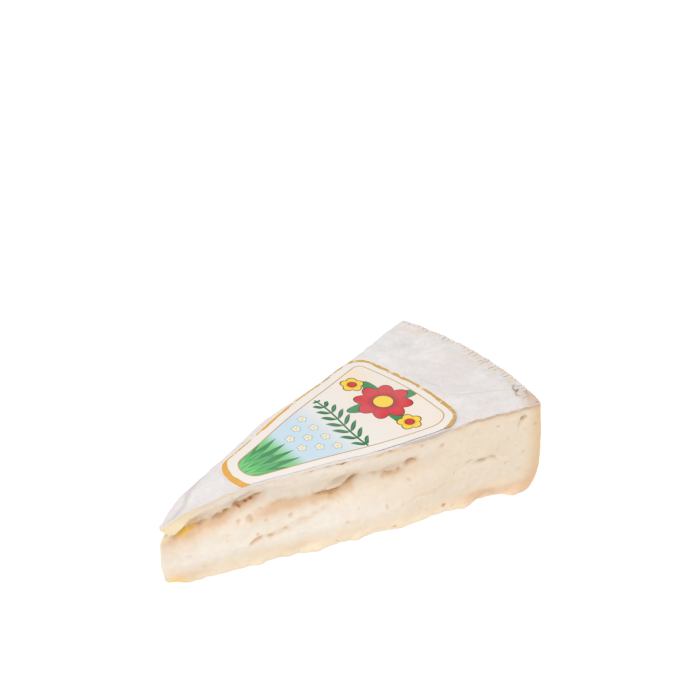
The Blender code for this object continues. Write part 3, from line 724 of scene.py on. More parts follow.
def kept_inside(candidates, outline, margin):
    """The candidates that lie inside an outline, clear of its edge."""
    ahead = np.roll(outline, -1, axis=0)
    run = ahead - outline
    squared = (run * run).sum(axis=1)
    rise = np.where(run[:, 1] == 0, 1, run[:, 1])
    kept = []
    for start in range(0, len(candidates), INSIDE_BATCH):
        batch = candidates[start : start + INSIDE_BATCH]
        to_point = batch[:, None] - outline[None]
        share = np.clip((to_point * run).sum(axis=-1) / squared, 0, 1)
        away = to_point - run * share[..., None]
        nearest = np.hypot(away[..., 0], away[..., 1]).min(axis=1)
        level = batch[:, 1, None]
        crossed = (outline[:, 1] > level) != (ahead[:, 1] > level)
        crossing = outline[:, 0] + (level - outline[:, 1]) * run[:, 0] / rise
        inside = (crossed & (crossing > batch[:, 0, None])).sum(axis=1) % 2 == 1
        kept.append(batch[inside & (nearest > margin)])
    return np.concatenate(kept)


def fill_outline(outline, inner):
    """Triangles of a face inside an outline, whose own points come first, followed by the inner ones."""
    points = [Vector(point) for point in (*outline, *inner)]
    made = delaunay_2d_cdt(points, [], [list(range(len(outline)))], 1, SAME_POINT)
    first_input = [sources[0] for sources in made[3]]
    return [tuple(first_input[corner] for corner in face) for face in made[2]]


def band_faces(first_lower, first_upper, count):
    """Quads between two closed rings of count points."""
    quads = []
    for i in range(count):
        after = (i + 1) % count
        quads.append((first_lower + i, first_lower + after, first_upper + after, first_upper + i))
    return quads


def new_object(name, data):
    """An object put into the scene."""
    made = bpy.data.objects.new(name, data)
    bpy.context.scene.collection.objects.link(made)
    return made


def mesh_object(name, points, faces, materials, face_materials=None, marks=None):
    """A closed mesh with its faces out, moved so that the wedge's middle is over the origin."""
    mesh = bpy.data.meshes.new(name)
    centred = np.array(points) - [*MIDDLE, 0]
    mesh.from_pydata(centred.tolist(), [], faces)
    for material in materials:
        mesh.materials.append(material)
    if face_materials is not None:
        mesh.polygons.foreach_set("material_index", face_materials)
    for mark, values in (marks or {}).items():
        attribute = mesh.attributes.new(mark, "FLOAT", "POINT")
        attribute.data.foreach_set("value", values.astype(np.float32))
    shaped = bmesh.new()
    shaped.from_mesh(mesh)
    bmesh.ops.recalc_face_normals(shaped, faces=shaped.faces)
    bmesh.ops.triangulate(shaped, faces=shaped.faces)
    shaped.to_mesh(mesh)
    shaped.free()
    mesh.shade_smooth()
    mesh.set_sharp_from_angle(angle=SHARP_EDGE)
    return new_object(name, mesh)


def cheese_body(rind, paste):
    """The wedge itself, with its cut faces in paste and the rest in rind."""
    levels = 1 - (1 - np.linspace(0, 1, LEVELS + 1)) ** TOP_CROWDING
    rings, marks = wedge_rings(levels)
    count = rings.shape[1]
    last_ring = LEVELS * count
    points = rings.reshape(-1, 3)
    is_rim = [NEAR_COLUMNS <= i < NEAR_COLUMNS + RIM_COLUMNS for i in range(count)]
    faces, face_materials = [], []
    for start in range(0, last_ring, count):
        faces += band_faces(start, start + count, count)
        face_materials += [0 if rim else 1 for rim in is_rim]

    foot = rings[0, :, :2]
    underside = kept_inside(even_grid(foot, UNDERSIDE_SPACING), foot, CLEAR_OF_OUTLINE * UNDERSIDE_SPACING)
    for corners in fill_outline(foot, underside):
        faces.append(tuple(c if c < count else c - count + len(points) for c in corners))
        face_materials.append(0)

    outline = rings[-1, :, :2]
    rim = outline[NEAR_COLUMNS : NEAR_COLUMNS + RIM_COLUMNS + 1]
    rows = [rim * (1 - row * RIM_ROW_STEP / WHEEL_RADIUS) for row in range(1, RIM_ROWS + 1)]
    grid = even_grid(outline, TOP_SPACING)
    grid = grid[np.hypot(*grid.T) < WHEEL_RADIUS - (RIM_ROWS + CLEAR_OF_RIM_ROWS) * RIM_ROW_STEP]
    inner = kept_inside(np.concatenate([*rows, grid]), outline, CLEAR_OF_OUTLINE * TOP_SPACING)
    first_inner = len(points) + len(underside)
    for corners in fill_outline(outline, inner):
        faces.append(tuple(c + last_ring if c < count else c - count + first_inner for c in corners))
        face_materials.append(0)

    _, marks["tick"][last_ring:], marks["crease_shade"][last_ring:] = rind_marks(*outline.T)
    relief, tick, crease_shade = rind_marks(*inner.T)
    height = top_height(*inner.T) + relief
    inner_marks = {"tick": tick, "crease_shade": crease_shade, "along": np.hypot(*inner.T) / WHEEL_RADIUS}
    for name in MARK_NAMES:
        below = np.full(len(underside), UNDERSIDE_BELOW_TOP if name == "below_top" else 0.0)
        marks[name] = np.concatenate([marks[name], below, inner_marks.get(name, np.zeros(len(inner)))])
    flat = np.column_stack([underside, np.zeros(len(underside))])
    points = np.concatenate([points, flat, np.column_stack([inner, height])])
    return mesh_object("cheese_body", points, faces, [rind, paste], face_materials, marks)


# The paper of the label, which follows the rind and lifts a little where it was cut
PAPER_THICKNESS = 0.16 * MM
PAPER_CLEAR = 0.05 * MM
PAPER_WAVE = 0.06 * MM
PAPER_WAVE_LENGTH = 11 * MM
CUT_INSET = (0.15 * MM, 0.35 * MM)
CUT_INSET_LENGTH = 5 * MM
PAPER_FRAY = 0.12 * MM
PAPER_FRAY_LENGTH = 1.6 * MM
CURL = 0.9 * MM
CURL_FADE = 2.2 * MM
CURL_LENGTH = 21 * MM
LIFTED_CORNER = (118.5 * MM, -27.0 * MM)
LIFTED_CORNER_SIZE = 7 * MM
LIFTED_CORNER_HEIGHT = 0.6 * MM
LABEL_EDGE_SPACING = 0.8 * MM
LABEL_SPACING = 1.1 * MM


def arc(centre, radius, start, end, spacing):
    """Points along a round stretch of an outline, without its last point."""
    steps = max(2, ceil(abs(end - start) * radius / spacing))
    angles = start + (end - start) * np.arange(steps) / steps
    return [(centre[0] + radius * cos(a), centre[1] + radius * sin(a)) for a in angles]


def straight(start, end, spacing):
    """Points along a straight stretch of an outline, without its last point."""
    steps = max(1, ceil(hypot(*(end - start)) / spacing))
    return [tuple(start + (end - start) * i / steps) for i in range(steps)]


def label_outline(spacing):
    """The whole label: two straight sides, a round narrow end, and a wide end bowed about its apex."""
    turn = pi / 2 + LABEL_HALF_ANGLE
    narrow = np.array([LABEL_NARROW_RADIUS / sin(LABEL_HALF_ANGLE), 0])

    near_out = np.array([-sin(LABEL_HALF_ANGLE), -cos(LABEL_HALF_ANGLE)])
    near_reach = LABEL_LENGTH - LABEL_NEAR_CORNER
    near_angle = asin(LABEL_NEAR_CORNER / near_reach) - LABEL_HALF_ANGLE
    near = near_reach * np.array([cos(near_angle), sin(near_angle)])

    far_out = np.array([-sin(LABEL_HALF_ANGLE), cos(LABEL_HALF_ANGLE)])
    far_reach = LABEL_LENGTH - LABEL_FAR_CORNER
    far_angle = LABEL_HALF_ANGLE - asin(LABEL_FAR_CORNER / far_reach)
    far = far_reach * np.array([cos(far_angle), sin(far_angle)])

    points = arc(narrow, LABEL_NARROW_RADIUS, turn, 2 * pi - turn, spacing)
    points += straight(narrow + near_out * LABEL_NARROW_RADIUS, near + near_out * LABEL_NEAR_CORNER, spacing)
    points += arc(near, LABEL_NEAR_CORNER, -turn, near_angle, spacing)
    points += arc((0, 0), LABEL_LENGTH, near_angle, far_angle, spacing)
    points += arc(far, LABEL_FAR_CORNER, far_angle, turn, spacing)
    points += straight(far + far_out * LABEL_FAR_CORNER, narrow + far_out * LABEL_NARROW_RADIUS, spacing)
    turned = np.array([[cos(LABEL_TURN), sin(LABEL_TURN)], [-sin(LABEL_TURN), cos(LABEL_TURN)]])
    return np.array(points) @ turned + LABEL_APEX


def past_cut(side, x, y):
    """How far a plan position lies past a cut's top edge, below zero inside it."""
    u = (x * cos(HALF_ANGLE) + side * y * sin(HALF_ANGLE)) / WHEEL_RADIUS
    edge_x, edge_y = cut_plan(side, u, FULL_HEIGHT, 0 * u)
    return (edge_x - x) * sin(HALF_ANGLE) + (y - edge_y) * side * cos(HALF_ANGLE)


def cut_to_wedge(outline):
    """An outline whose points past a cut are moved back to a frayed line just inside the cut's top edge."""
    kept = outline.copy()
    for side in (NEAR, FAR):
        out = np.array([-sin(HALF_ANGLE), side * cos(HALF_ANGLE)])
        inset = CUT_INSET[0] + CUT_INSET[1] * (1 + waviness(*kept.T, side, CUT_INSET_LENGTH, CUT_SEED))
        inset += PAPER_FRAY * waviness(*kept.T, side, PAPER_FRAY_LENGTH, CUT_SEED)
        past = np.maximum(past_cut(side, *kept.T) + inset, 0)
        kept -= past[:, None] * out
    return kept


def paper_label(material):
    """The paper that is left on the wedge, lying on the rind."""
    outline = cut_to_wedge(label_outline(LABEL_EDGE_SPACING))
    inner = kept_inside(even_grid(outline, LABEL_SPACING), outline, CLEAR_OF_OUTLINE * LABEL_SPACING)
    triangles = fill_outline(outline, inner)
    plan = np.concatenate([outline, inner])
    x, y = plan.T
    under = top_height(x, y) + PAPER_CLEAR + PAPER_WAVE * (1 + waviness(x, y, 0, PAPER_WAVE_LENGTH, RIM_SEED))
    for side in (NEAR, FAR):
        loose = np.maximum(waviness(x, y, side, CURL_LENGTH, FAR_FOOT_SEED), 0)
        under += CURL * loose * np.exp(np.minimum(past_cut(side, x, y), 0) / CURL_FADE)
    from_corner = np.hypot(x - LIFTED_CORNER[0], y - LIFTED_CORNER[1])
    under += LIFTED_CORNER_HEIGHT * bump(from_corner, 0, LIFTED_CORNER_SIZE)
    layers = [np.column_stack([plan, height]) for height in (under, under + PAPER_THICKNESS)]
    upper = len(plan)
    faces = [tuple(corner + upper for corner in triangle) for triangle in triangles]
    faces += [tuple(reversed(triangle)) for triangle in triangles]
    faces += band_faces(0, upper, len(outline))
    return mesh_object("paper_label", np.concatenate(layers), faces, [material])


class Field:
    """A number, place or colour that changes over a surface: a node's output, with plain arithmetic."""

    def __init__(self, tree, socket):
        self.tree = tree
        self.socket = socket

    def __add__(self, other):
        return calc(self.tree, "ADD", self, other)

    def __radd__(self, other):
        return calc(self.tree, "ADD", other, self)

    def __sub__(self, other):
        return calc(self.tree, "SUBTRACT", self, other)

    def __rsub__(self, other):
        return calc(self.tree, "SUBTRACT", other, self)

    def __mul__(self, other):
        return calc(self.tree, "MULTIPLY", self, other)

    def __rmul__(self, other):
        return calc(self.tree, "MULTIPLY", other, self)

    def __truediv__(self, other):
        return calc(self.tree, "DIVIDE", self, other)

    def __abs__(self):
        return calc(self.tree, "ABSOLUTE", self)

    def at_least(self, other):
        return calc(self.tree, "MAXIMUM", self, other)

    def at_most(self, other):
        return calc(self.tree, "MINIMUM", self, other)

    def inside(self, edge, blur):
        """1 where this value is below edge, 0 where it is above it, with an edge of this blur."""
        return 1 - ramp(self, edge - blur, edge + blur)


def join(tree, value, socket):
    """Feeds a socket from a field, or sets it to a plain number or colour."""
    if isinstance(value, Field):
        tree.links.new(value.socket, socket)
    elif socket.type == "RGBA":
        socket.default_value = (*value, 1)
    else:
        socket.default_value = value


def calc(tree, operation, *values):
    """A math node."""
    node = tree.nodes.new("ShaderNodeMath")
    node.operation = operation
    for value, socket in zip(values, node.inputs):
        join(tree, value, socket)
    return Field(tree, node.outputs[0])


def ramp(value, low, high):
    """0 below low, 1 above high, and an even curve between."""
    node = value.tree.nodes.new("ShaderNodeMapRange")
    node.interpolation_type = "SMOOTHSTEP"
    for number, name in ((value, "Value"), (low, "From Min"), (high, "From Max")):
        join(value.tree, number, node.inputs[name])
    return Field(value.tree, node.outputs["Result"])


def layer(mask, under, over):
    """The colour over laid on the colour under, where mask is above 0."""
    node = mask.tree.nodes.new("ShaderNodeMix")
    node.data_type = "RGBA"
    colour_inputs = [socket for socket in node.inputs if socket.type == "RGBA"]
    join(mask.tree, mask, node.inputs["Factor"])
    join(mask.tree, under, colour_inputs[0])
    join(mask.tree, over, colour_inputs[1])
    return Field(mask.tree, next(socket for socket in node.outputs if socket.type == "RGBA"))


def moved(place, shift=(0, 0, 0), turn=0, stretch=(1, 1, 1)):
    """A place field shifted, turned about Z and stretched."""
    node = place.tree.nodes.new("ShaderNodeMapping")
    node.inputs["Location"].default_value = shift
    node.inputs["Rotation"].default_value = (0, 0, turn)
    node.inputs["Scale"].default_value = stretch
    join(place.tree, place, node.inputs["Vector"])
    return Field(place.tree, node.outputs["Vector"])


def split(place):
    """The three parts of a place."""
    node = place.tree.nodes.new("ShaderNodeSeparateXYZ")
    join(place.tree, place, node.inputs[0])
    return [Field(place.tree, socket) for socket in node.outputs]


def mark(tree, name):
    """A mark that the mesh carries at each of its points."""
    node = tree.nodes.new("ShaderNodeAttribute")
    node.attribute_name = name
    return Field(tree, node.outputs["Fac"])


def place_in_mm(tree):
    """The place on the object, in millimetres."""
    node = tree.nodes.new("ShaderNodeTexCoord")
    return moved(Field(tree, node.outputs["Object"]), stretch=(1 / MM,) * 3)


def cloud(place, size, detail=2.0):
    """Soft random patches of about this size, from 0 to 1."""
    node = place.tree.nodes.new("ShaderNodeTexNoise")
    node.inputs["Scale"].default_value = 1 / size
    node.inputs["Detail"].default_value = detail
    join(place.tree, place, node.inputs["Vector"])
    return Field(place.tree, node.outputs["Fac"])


def make_group(name, inputs, build):
    """A node group with named inputs, and one output, which build names and works out from them."""
    group = bpy.data.node_groups.new(name, "ShaderNodeTree")
    for input_name, kind, value in inputs:
        socket = group.interface.new_socket(input_name, in_out="INPUT", socket_type=kind)
        if value is not None:
            socket.default_value = value
    start = group.nodes.new("NodeGroupInput")
    fields = [Field(group, socket) for socket in start.outputs if socket.name]
    result_name, result = build(*fields)
    group.interface.new_socket(result_name, in_out="OUTPUT", socket_type="NodeSocketFloat")
    end = group.nodes.new("NodeGroupOutput")
    group.links.new(result.socket, end.inputs[0])
    return group


def use_group(tree, group, **values):
    """A node group placed in a material with its own values, named with _ for each space."""
    node = tree.nodes.new("ShaderNodeGroup")
    node.node_tree = group
    for name, value in values.items():
        join(tree, value, node.inputs[name.replace("_", " ")])
    return Field(tree, node.outputs[0])


def scaled_cloud(place, size, detail):
    """Soft random patches whose size is itself a field."""
    node = place.tree.nodes.new("ShaderNodeTexNoise")
    node.inputs["Detail"].default_value = detail
    join(place.tree, place, node.inputs["Vector"])
    join(place.tree, calc(place.tree, "DIVIDE", 1, size), node.inputs["Scale"])
    return Field(place.tree, node.outputs["Fac"])


def patches_group():
    """Cloudy patches with soft edges, for mottling of any colour."""

    def build(place, size, edge):
        cloudy = scaled_cloud(place, size, 3)
        return "Patches", ramp(cloudy, 0.5 - edge, 0.5 + edge)

    inputs = (
        ("Place", "NodeSocketVector", None),
        ("Size", "NodeSocketFloat", 10),
        ("Edge", "NodeSocketFloat", 0.15),
    )
    return make_group("Cloudy Patches", inputs, build)


def grain_group():
    """A fine uneven height in millimetres, with a coarser one under it."""

    def build(place, size, depth):
        fine = scaled_cloud(place, size, 4)
        coarse = scaled_cloud(place, size * 4, 2)
        return "Height", (fine * 0.6 + coarse) * depth

    inputs = (
        ("Place", "NodeSocketVector", None),
        ("Size", "NodeSocketFloat", 1),
        ("Depth", "NodeSocketFloat", 0.1),
    )
    return make_group("Fine Grain", inputs, build)


def tint(red, green, blue):
    """A colour given as it shows on screen, from 0 to 255, in the linear values that nodes take."""
    shares = [value / 255 for value in (red, green, blue)]
    return tuple(share / 12.92 if share <= 0.04045 else ((share + 0.055) / 1.055) ** 2.4 for share in shares)


def new_material(name):
    material = bpy.data.materials.new(name)
    material.use_nodes = True
    return material, material.node_tree, material.node_tree.nodes["Principled BSDF"]


def set_relief(tree, shader, height, strength):
    """Feeds a height in millimetres to the shader's normal."""
    node = tree.nodes.new("ShaderNodeBump")
    node.inputs["Strength"].default_value = strength
    node.inputs["Distance"].default_value = MM
    join(tree, height, node.inputs["Height"])
    tree.links.new(node.outputs["Normal"], shader.inputs["Normal"])


# Colours as they show on screen
RIND_WHITE = tint(234, 230, 227)
RIND_GREY = tint(217, 213, 212)
RIND_PINK = tint(229, 219, 216)
RIND_TAN = tint(226, 204, 178)
RIND_CUT = tint(231, 223, 216)
RIND_SHADE = tint(196, 180, 168)
RIND_SCAR = tint(208, 176, 148)
TICK_GREY = tint(158, 138, 126)
SPECK_AND_CREASE_SHADE_GREY = tint(190, 183, 181)
CREASE_BROWN = tint(140, 112, 92)
PASTE = tint(238, 225, 207)
PASTE_PALE = tint(243, 235, 224)
PASTE_TAN = tint(232, 211, 182)
PASTE_FOOT = tint(245, 225, 194)
PASTE_HEEL = tint(228, 201, 158)
# The tan of the shade painted in hollows, grooves, holes and under the rind's edge, also tinting faint
# mottling
HOLLOW_SHADE_AND_MOTTLE_TAN = tint(224, 187, 149)
STAIN_BROWN = tint(200, 158, 112)
SEAM_SHADE_BROWN = tint(188, 164, 140)
RUST_BROWN = tint(180, 110, 60)
POCKET_YELLOW = tint(252, 206, 70)
LIP_YELLOW = tint(246, 232, 190)


def rind_material(patches, grain):
    """White mould rind: matt, cloudy, with grey ticks, grey shade painted in its creases, and tan where the
    mould is thin.
    """
    material, tree, shader = new_material("bloomy rind")
    place = place_in_mm(tree)
    tick = mark(tree, "tick")
    crease_shade = mark(tree, "crease_shade")
    _, towards_far, height = split(place)
    at_rim = ramp(mark(tree, "along"), 0.94, 0.99) * mark(tree, "below_top").inside(2.5, 2.0)

    colour = layer(use_group(tree, patches, Place=place, Size=11.0, Edge=0.2) * 0.8, RIND_WHITE, RIND_GREY)
    pink = use_group(tree, patches, Place=moved(place, (31, 7, 0)), Size=20.0, Edge=0.12)
    colour = layer(pink * 0.7, colour, RIND_PINK)
    grey = use_group(tree, patches, Place=moved(place, (3, 60, 7)), Size=3.2, Edge=0.10)
    colour = layer(grey * 0.35, colour, RIND_GREY)
    specks = ramp(cloud(moved(place, (8, 15, 2)), 1.1, 3), 0.56, 0.74)
    colour = layer(specks * 0.25, colour, SPECK_AND_CREASE_SHADE_GREY)
    thin = ramp(cloud(moved(place, (5, 50, 9)), 2.3, 3), 0.60, 0.78)
    colour = layer(thin * 0.28, colour, RIND_TAN)
    patchy = ramp(cloud(moved(place, (2, 2, 70)), 6, 3), 0.42, 0.62)
    colour = layer(at_rim * patchy * 0.5, colour, RIND_TAN)
    colour = layer(at_rim * towards_far.inside(-32, 5) * 0.75, colour, RIND_SCAR)
    foot = height.inside(3.5, 3.5) * ramp(cloud(place, 7), 0.35, 0.6)
    colour = layer(foot * 0.5, colour, RIND_TAN)
    # Grey shade painted along the creases, and brown in the darkest creases
    colour = layer(ramp(crease_shade, 0.05, 0.9) * 0.7, colour, SPECK_AND_CREASE_SHADE_GREY)
    colour = layer(ramp(crease_shade, 0.6, 1.0) * 0.75, colour, CREASE_BROWN)
    colour = layer(ramp(tick, 0.12, 0.9) * 0.75, colour, TICK_GREY)
    join(tree, colour, shader.inputs["Base Color"])
    join(tree, ramp(cloud(place, 4), 0.2, 0.8) * 0.12 + 0.8, shader.inputs["Roughness"])
    shader.inputs["Specular IOR Level"].default_value = 0.3
    shader.inputs["Subsurface Weight"].default_value = 0.1
    shader.inputs["Subsurface Scale"].default_value = 2 * MM
    shader.inputs["Sheen Weight"].default_value = 0.12
    shader.inputs["Sheen Roughness"].default_value = 0.5
    fuzz = use_group(tree, grain, Place=place, Size=0.7, Depth=0.28)
    set_relief(tree, shader, fuzz, 0.8)
    return material


def paste_material(patches, grain):
    """Soft cream paste: paler near the tip, tan at the foot and heel, brown in its pits, with a rind edge.

    A highlight is painted along the swell's crest, and tan shade in its hollows and under the rind's edge.
    """
    material, tree, shader = new_material("soft paste")
    place = place_in_mm(tree)
    _, towards_far, height = split(place)
    along = mark(tree, "along")
    below = mark(tree, "below_top")

    streaked = moved(place, stretch=(0.35, 0.35, 1))
    colour = layer(use_group(tree, patches, Place=streaked, Size=9.0, Edge=0.2) * 0.5, PASTE, PASTE_PALE)
    # A highlight painted along the swell's crest, about 11 mm up, and a paler lip under the rind, fading to
    # the heel
    crest_highlight_and_pale_lip = abs(height - 11).inside(4.5, 4.0).at_least(below.inside(7.0, 3.0)) * (1 - ramp(along, 0.45, 0.8))
    colour = layer(crest_highlight_and_pale_lip * 0.8, colour, PASTE_PALE)
    tan = use_group(tree, patches, Place=moved(streaked, (17, 3, 40)), Size=12.0, Edge=0.15)
    colour = layer(tan * 0.2 + ramp(along, 0.45, 0.75) * 0.3, colour, PASTE_TAN)
    colour = layer(ramp(along, 0.955, 1.0) * 0.8, colour, PASTE_HEEL)
    foot_wander = cloud(place, 6, 3) * 3
    colour = layer((height + foot_wander).inside(7.5, 2.5) * 0.6, colour, PASTE_FOOT)
    mottle = use_group(tree, patches, Place=moved(place, (3, 8, 1)), Size=2.6, Edge=0.12)
    colour = layer(mottle * 0.12, colour, HOLLOW_SHADE_AND_MOTTLE_TAN)

    lip = abs(along - 0.04).inside(0.05, 0.03) * below.inside(7.0, 2.5)
    colour = layer(lip * 0.8, colour, LIP_YELLOW)
    uneven = cloud(moved(place, (4, 1, 6)), 3.5, 3) * 0.5 + 0.65
    # The tan mark is mostly painted shade: under the lip, along grooves and cracks, in eyes and pores
    colour = layer((mark(tree, "tan") * uneven).at_most(0.85), colour, HOLLOW_SHADE_AND_MOTTLE_TAN)
    broken = ramp(cloud(place, 1.3, 3), 0.25, 0.55) * 0.4 + 0.6
    colour = layer(ramp(mark(tree, "stain"), 0.1, 1.0) * broken * 0.85, colour, STAIN_BROWN)
    colour = layer(ramp(mark(tree, "rust"), 0.25, 0.9) * broken, colour, RUST_BROWN)
    # At the heel, a brown band of painted shade just under the rind's edge
    seam = (below + uneven).inside(2.3, 0.8) * ramp(along, 0.73, 0.80)
    colour = layer(seam * broken * 0.75, colour, SEAM_SHADE_BROWN)
    pocket = abs(along - 0.066).inside(0.022, 0.014) * abs(below - 9.3).inside(1.3, 0.8)
    corner = abs(along - 0.024).inside(0.018, 0.014) * height.inside(2.0, 1.6) * 0.6
    colour = layer(pocket.at_least(corner) * towards_far.inside(-0.8, 0.6), colour, POCKET_YELLOW)
    colour = layer(mark(tree, "rind_edge"), colour, RIND_CUT)
    at_heel = ramp(along, 0.74, 0.80) * 0.5 + ramp(along, 0.93, 1.0) * 0.5
    shaded = abs(along - RIND_THICK_PLACE).inside(0.07, 0.02).at_least(at_heel)
    colour = layer(mark(tree, "rind_edge") * shaded * 0.8, colour, RIND_SHADE)
    join(tree, colour, shader.inputs["Base Color"])
    join(tree, ramp(cloud(place, 3, 3), 0.3, 0.7) * 0.16 + 0.42, shader.inputs["Roughness"])
    shader.inputs["Specular IOR Level"].default_value = 0.4
    shader.inputs["Subsurface Weight"].default_value = 0.25
    shader.inputs["Subsurface Radius"].default_value = (1.0, 0.6, 0.35)
    shader.inputs["Subsurface Scale"].default_value = 3 * MM
    smear = use_group(tree, grain, Place=streaked, Size=0.7, Depth=0.2)
    set_relief(tree, shader, smear, 0.6)
    return material


# The print on the label, in millimetres: along runs from its apex to the rim, across towards the far cut
PAPER_WHITE = tint(236, 229, 222)
GOLD = tint(224, 162, 48)
OLD_GOLD = tint(204, 160, 76)
LINE_BROWN = tint(190, 146, 84)
CREAM = tint(243, 221, 196)
SKY = tint(198, 218, 230)
LEAF_LIGHT = tint(112, 200, 118)
LEAF_MID = tint(80, 178, 98)
LEAF_DARK = tint(44, 138, 76)
SPRIG_GREEN = tint(30, 104, 62)
FLOWER_RED = tint(212, 40, 52)
FLOWER_DEEP = tint(170, 20, 38)
FLOWER_YELLOW = tint(246, 208, 56)
OUTLINE = tint(64, 32, 34)

# The field inside the border, whose narrow end is rounder than the paper's
FIELD_INSET = 5.2
FIELD_NARROW_RADIUS = 11.3
GOLD_INSET = 0.45

# The fan's leaves, longest first: reach, angle between two, their shift in such angles, and tint
FAN_APEX = (28, 0)
FAN_LEAVES = ((32, 0.155, 0.0, LEAF_DARK), (25, 0.200, 0.5, LEAF_MID), (17, 0.26, 0.0, LEAF_LIGHT))

# The daisies' rows, and the stretch of sky that they fill
DAISY_ROW_STEP, DAISY_STEP = 6.0, 7.0
DAISY_RADIUS = 1.9
DAISIES_MIDDLE, DAISIES_HALF_LENGTH = 69, 8.9

# The sprig across the middle
SPRIG_PLACE, SPRIG_WAVE = 86, 1.6
SPRIG_LEAF_STEP = 4.6
SPRIG_HALF_WIDTH, STEM_HALF_WIDTH = 16.8, 17.6

# The flowers: middle, radius, petals, turn, and the tints of the petals, their shade and the heart
LARGE_FLOWER = (108.5, 0.5)
FLOWERS = (
    ((107.0, -16.6), 4.9, 5, 0.3, FLOWER_YELLOW, GOLD, FLOWER_RED),
    ((107.0, 17.4), 4.7, 5, 0.9, FLOWER_YELLOW, GOLD, FLOWER_RED),
    (LARGE_FLOWER, 11.6, 8, 0.2, FLOWER_RED, FLOWER_DEEP, FLOWER_YELLOW),
)


def whole_inset(along, across, narrow_radius):
    """How far a place on the print lies inside the label's outline, with a narrow end of this radius."""
    reach = calc(along.tree, "SQRT", along * along + across * across)
    away = abs(across)
    from_side = along * sin(LABEL_HALF_ANGLE) - away * cos(LABEL_HALF_ANGLE)
    from_end = LABEL_LENGTH / MM - reach
    corner = across.inside(0, 0.01) * ((LABEL_NEAR_CORNER - LABEL_FAR_CORNER) / MM) + LABEL_FAR_CORNER / MM
    side_gap = (corner - from_side).at_least(0)
    end_gap = (corner - from_end).at_least(0)
    rounded = corner - calc(along.tree, "SQRT", side_gap * side_gap + end_gap * end_gap)
    inset = from_side.at_most(from_end).at_most(rounded)
    narrow = narrow_radius / sin(LABEL_HALF_ANGLE)
    to_narrow = along - narrow
    round_end = narrow_radius - calc(along.tree, "SQRT", to_narrow * to_narrow + across * across)
    is_narrow = along * cos(LABEL_HALF_ANGLE) + away * sin(LABEL_HALF_ANGLE)
    pick = is_narrow.inside(narrow * cos(LABEL_HALF_ANGLE), 0.01)
    return pick * round_end + (1 - pick) * inset


def polar(along, across, centre):
    """Distance and angle of a place on the print from a centre."""
    right, up = along - centre[0], across - centre[1]
    return calc(along.tree, "SQRT", right * right + up * up), calc(along.tree, "ARCTAN2", up, right)


def petal_edge(angle, radius, petals, turn, notch):
    """Distance of a scalloped flower's edge from its heart at an angle."""
    wave = abs(calc(angle.tree, "COSINE", angle * (petals / 2) + turn))
    return wave * (radius * notch) + radius * (1 - notch)


def leaf_fan(tree, field, along, across):
    """A fan of leaves that opens from the narrow end."""
    distance, angle = polar(along, across, FAN_APEX)
    for reach, period, shift, leaf in FAN_LEAVES:
        within = calc(tree, "FRACT", angle / period + (shift + 20)) - 0.5
        width = calc(tree, "SINE", (distance * (pi / reach)).at_most(pi)) * (reach * period * 0.36)
        off_rib = abs(within * distance * period)
        blade = (off_rib - width).inside(0, 0.08) * distance.inside(reach, 0.1)
        field = layer(blade, field, leaf)
        field = layer(blade * off_rib.inside(0.14, 0.05) * 0.8, field, SPRIG_GREEN)
    return field


def daisies(tree, field, along, across):
    """Small daisies in staggered rows on the pale sky."""
    cell_across = across / DAISY_STEP + calc(tree, "FLOOR", along / DAISY_ROW_STEP) * 0.5
    local_along = (calc(tree, "FRACT", along / DAISY_ROW_STEP) - 0.5) * DAISY_ROW_STEP
    local_across = (calc(tree, "FRACT", cell_across + 20) - 0.5) * DAISY_STEP
    distance, angle = polar(local_along, local_across, (0, 0))
    clear = whole_inset(along - local_along, across - local_across, FIELD_NARROW_RADIUS) - FIELD_INSET
    sky_part = abs(along - DAISIES_MIDDLE).inside(DAISIES_HALF_LENGTH, 0.1) * ramp(clear, 2.3, 2.4)
    beyond = distance - petal_edge(angle, DAISY_RADIUS, 5, 0.4, 0.4)
    field = layer(beyond.inside(0.15, 0.06) * sky_part, field, LEAF_DARK)
    field = layer(beyond.inside(-0.05, 0.06) * sky_part, field, PAPER_WHITE)
    return layer(distance.inside(0.6, 0.06) * sky_part, field, FLOWER_YELLOW)


def leafy_sprig(tree, field, along, across):
    """A leafy sprig that waves across the middle."""
    stem = calc(tree, "SINE", across / 9.0) * SPRIG_WAVE + SPRIG_PLACE
    from_stem = abs(along - stem)
    leaf_length = calc(tree, "SQRT", (1 - across * across / 330).at_least(0.02)) * 6.4
    leaf_place = (across - from_stem * 0.75) / SPRIG_LEAF_STEP
    within = (calc(tree, "FRACT", leaf_place + 20) - 0.5) * SPRIG_LEAF_STEP
    half_width = calc(tree, "SINE", (from_stem / leaf_length).at_most(1) * pi) * 1.3
    in_sprig = abs(across).inside(SPRIG_HALF_WIDTH, 0.1)
    leaves = (abs(within) - half_width).inside(0, 0.07) * (from_stem - leaf_length).inside(0, 0.07) * in_sprig
    field = layer(leaves, field, SPRIG_GREEN)
    field = layer(leaves * abs(within).inside(0.12, 0.05) * 0.6, field, LEAF_LIGHT)
    return layer(from_stem.inside(0.42, 0.07) * abs(across).inside(STEM_HALF_WIDTH, 0.1), field, SPRIG_GREEN)


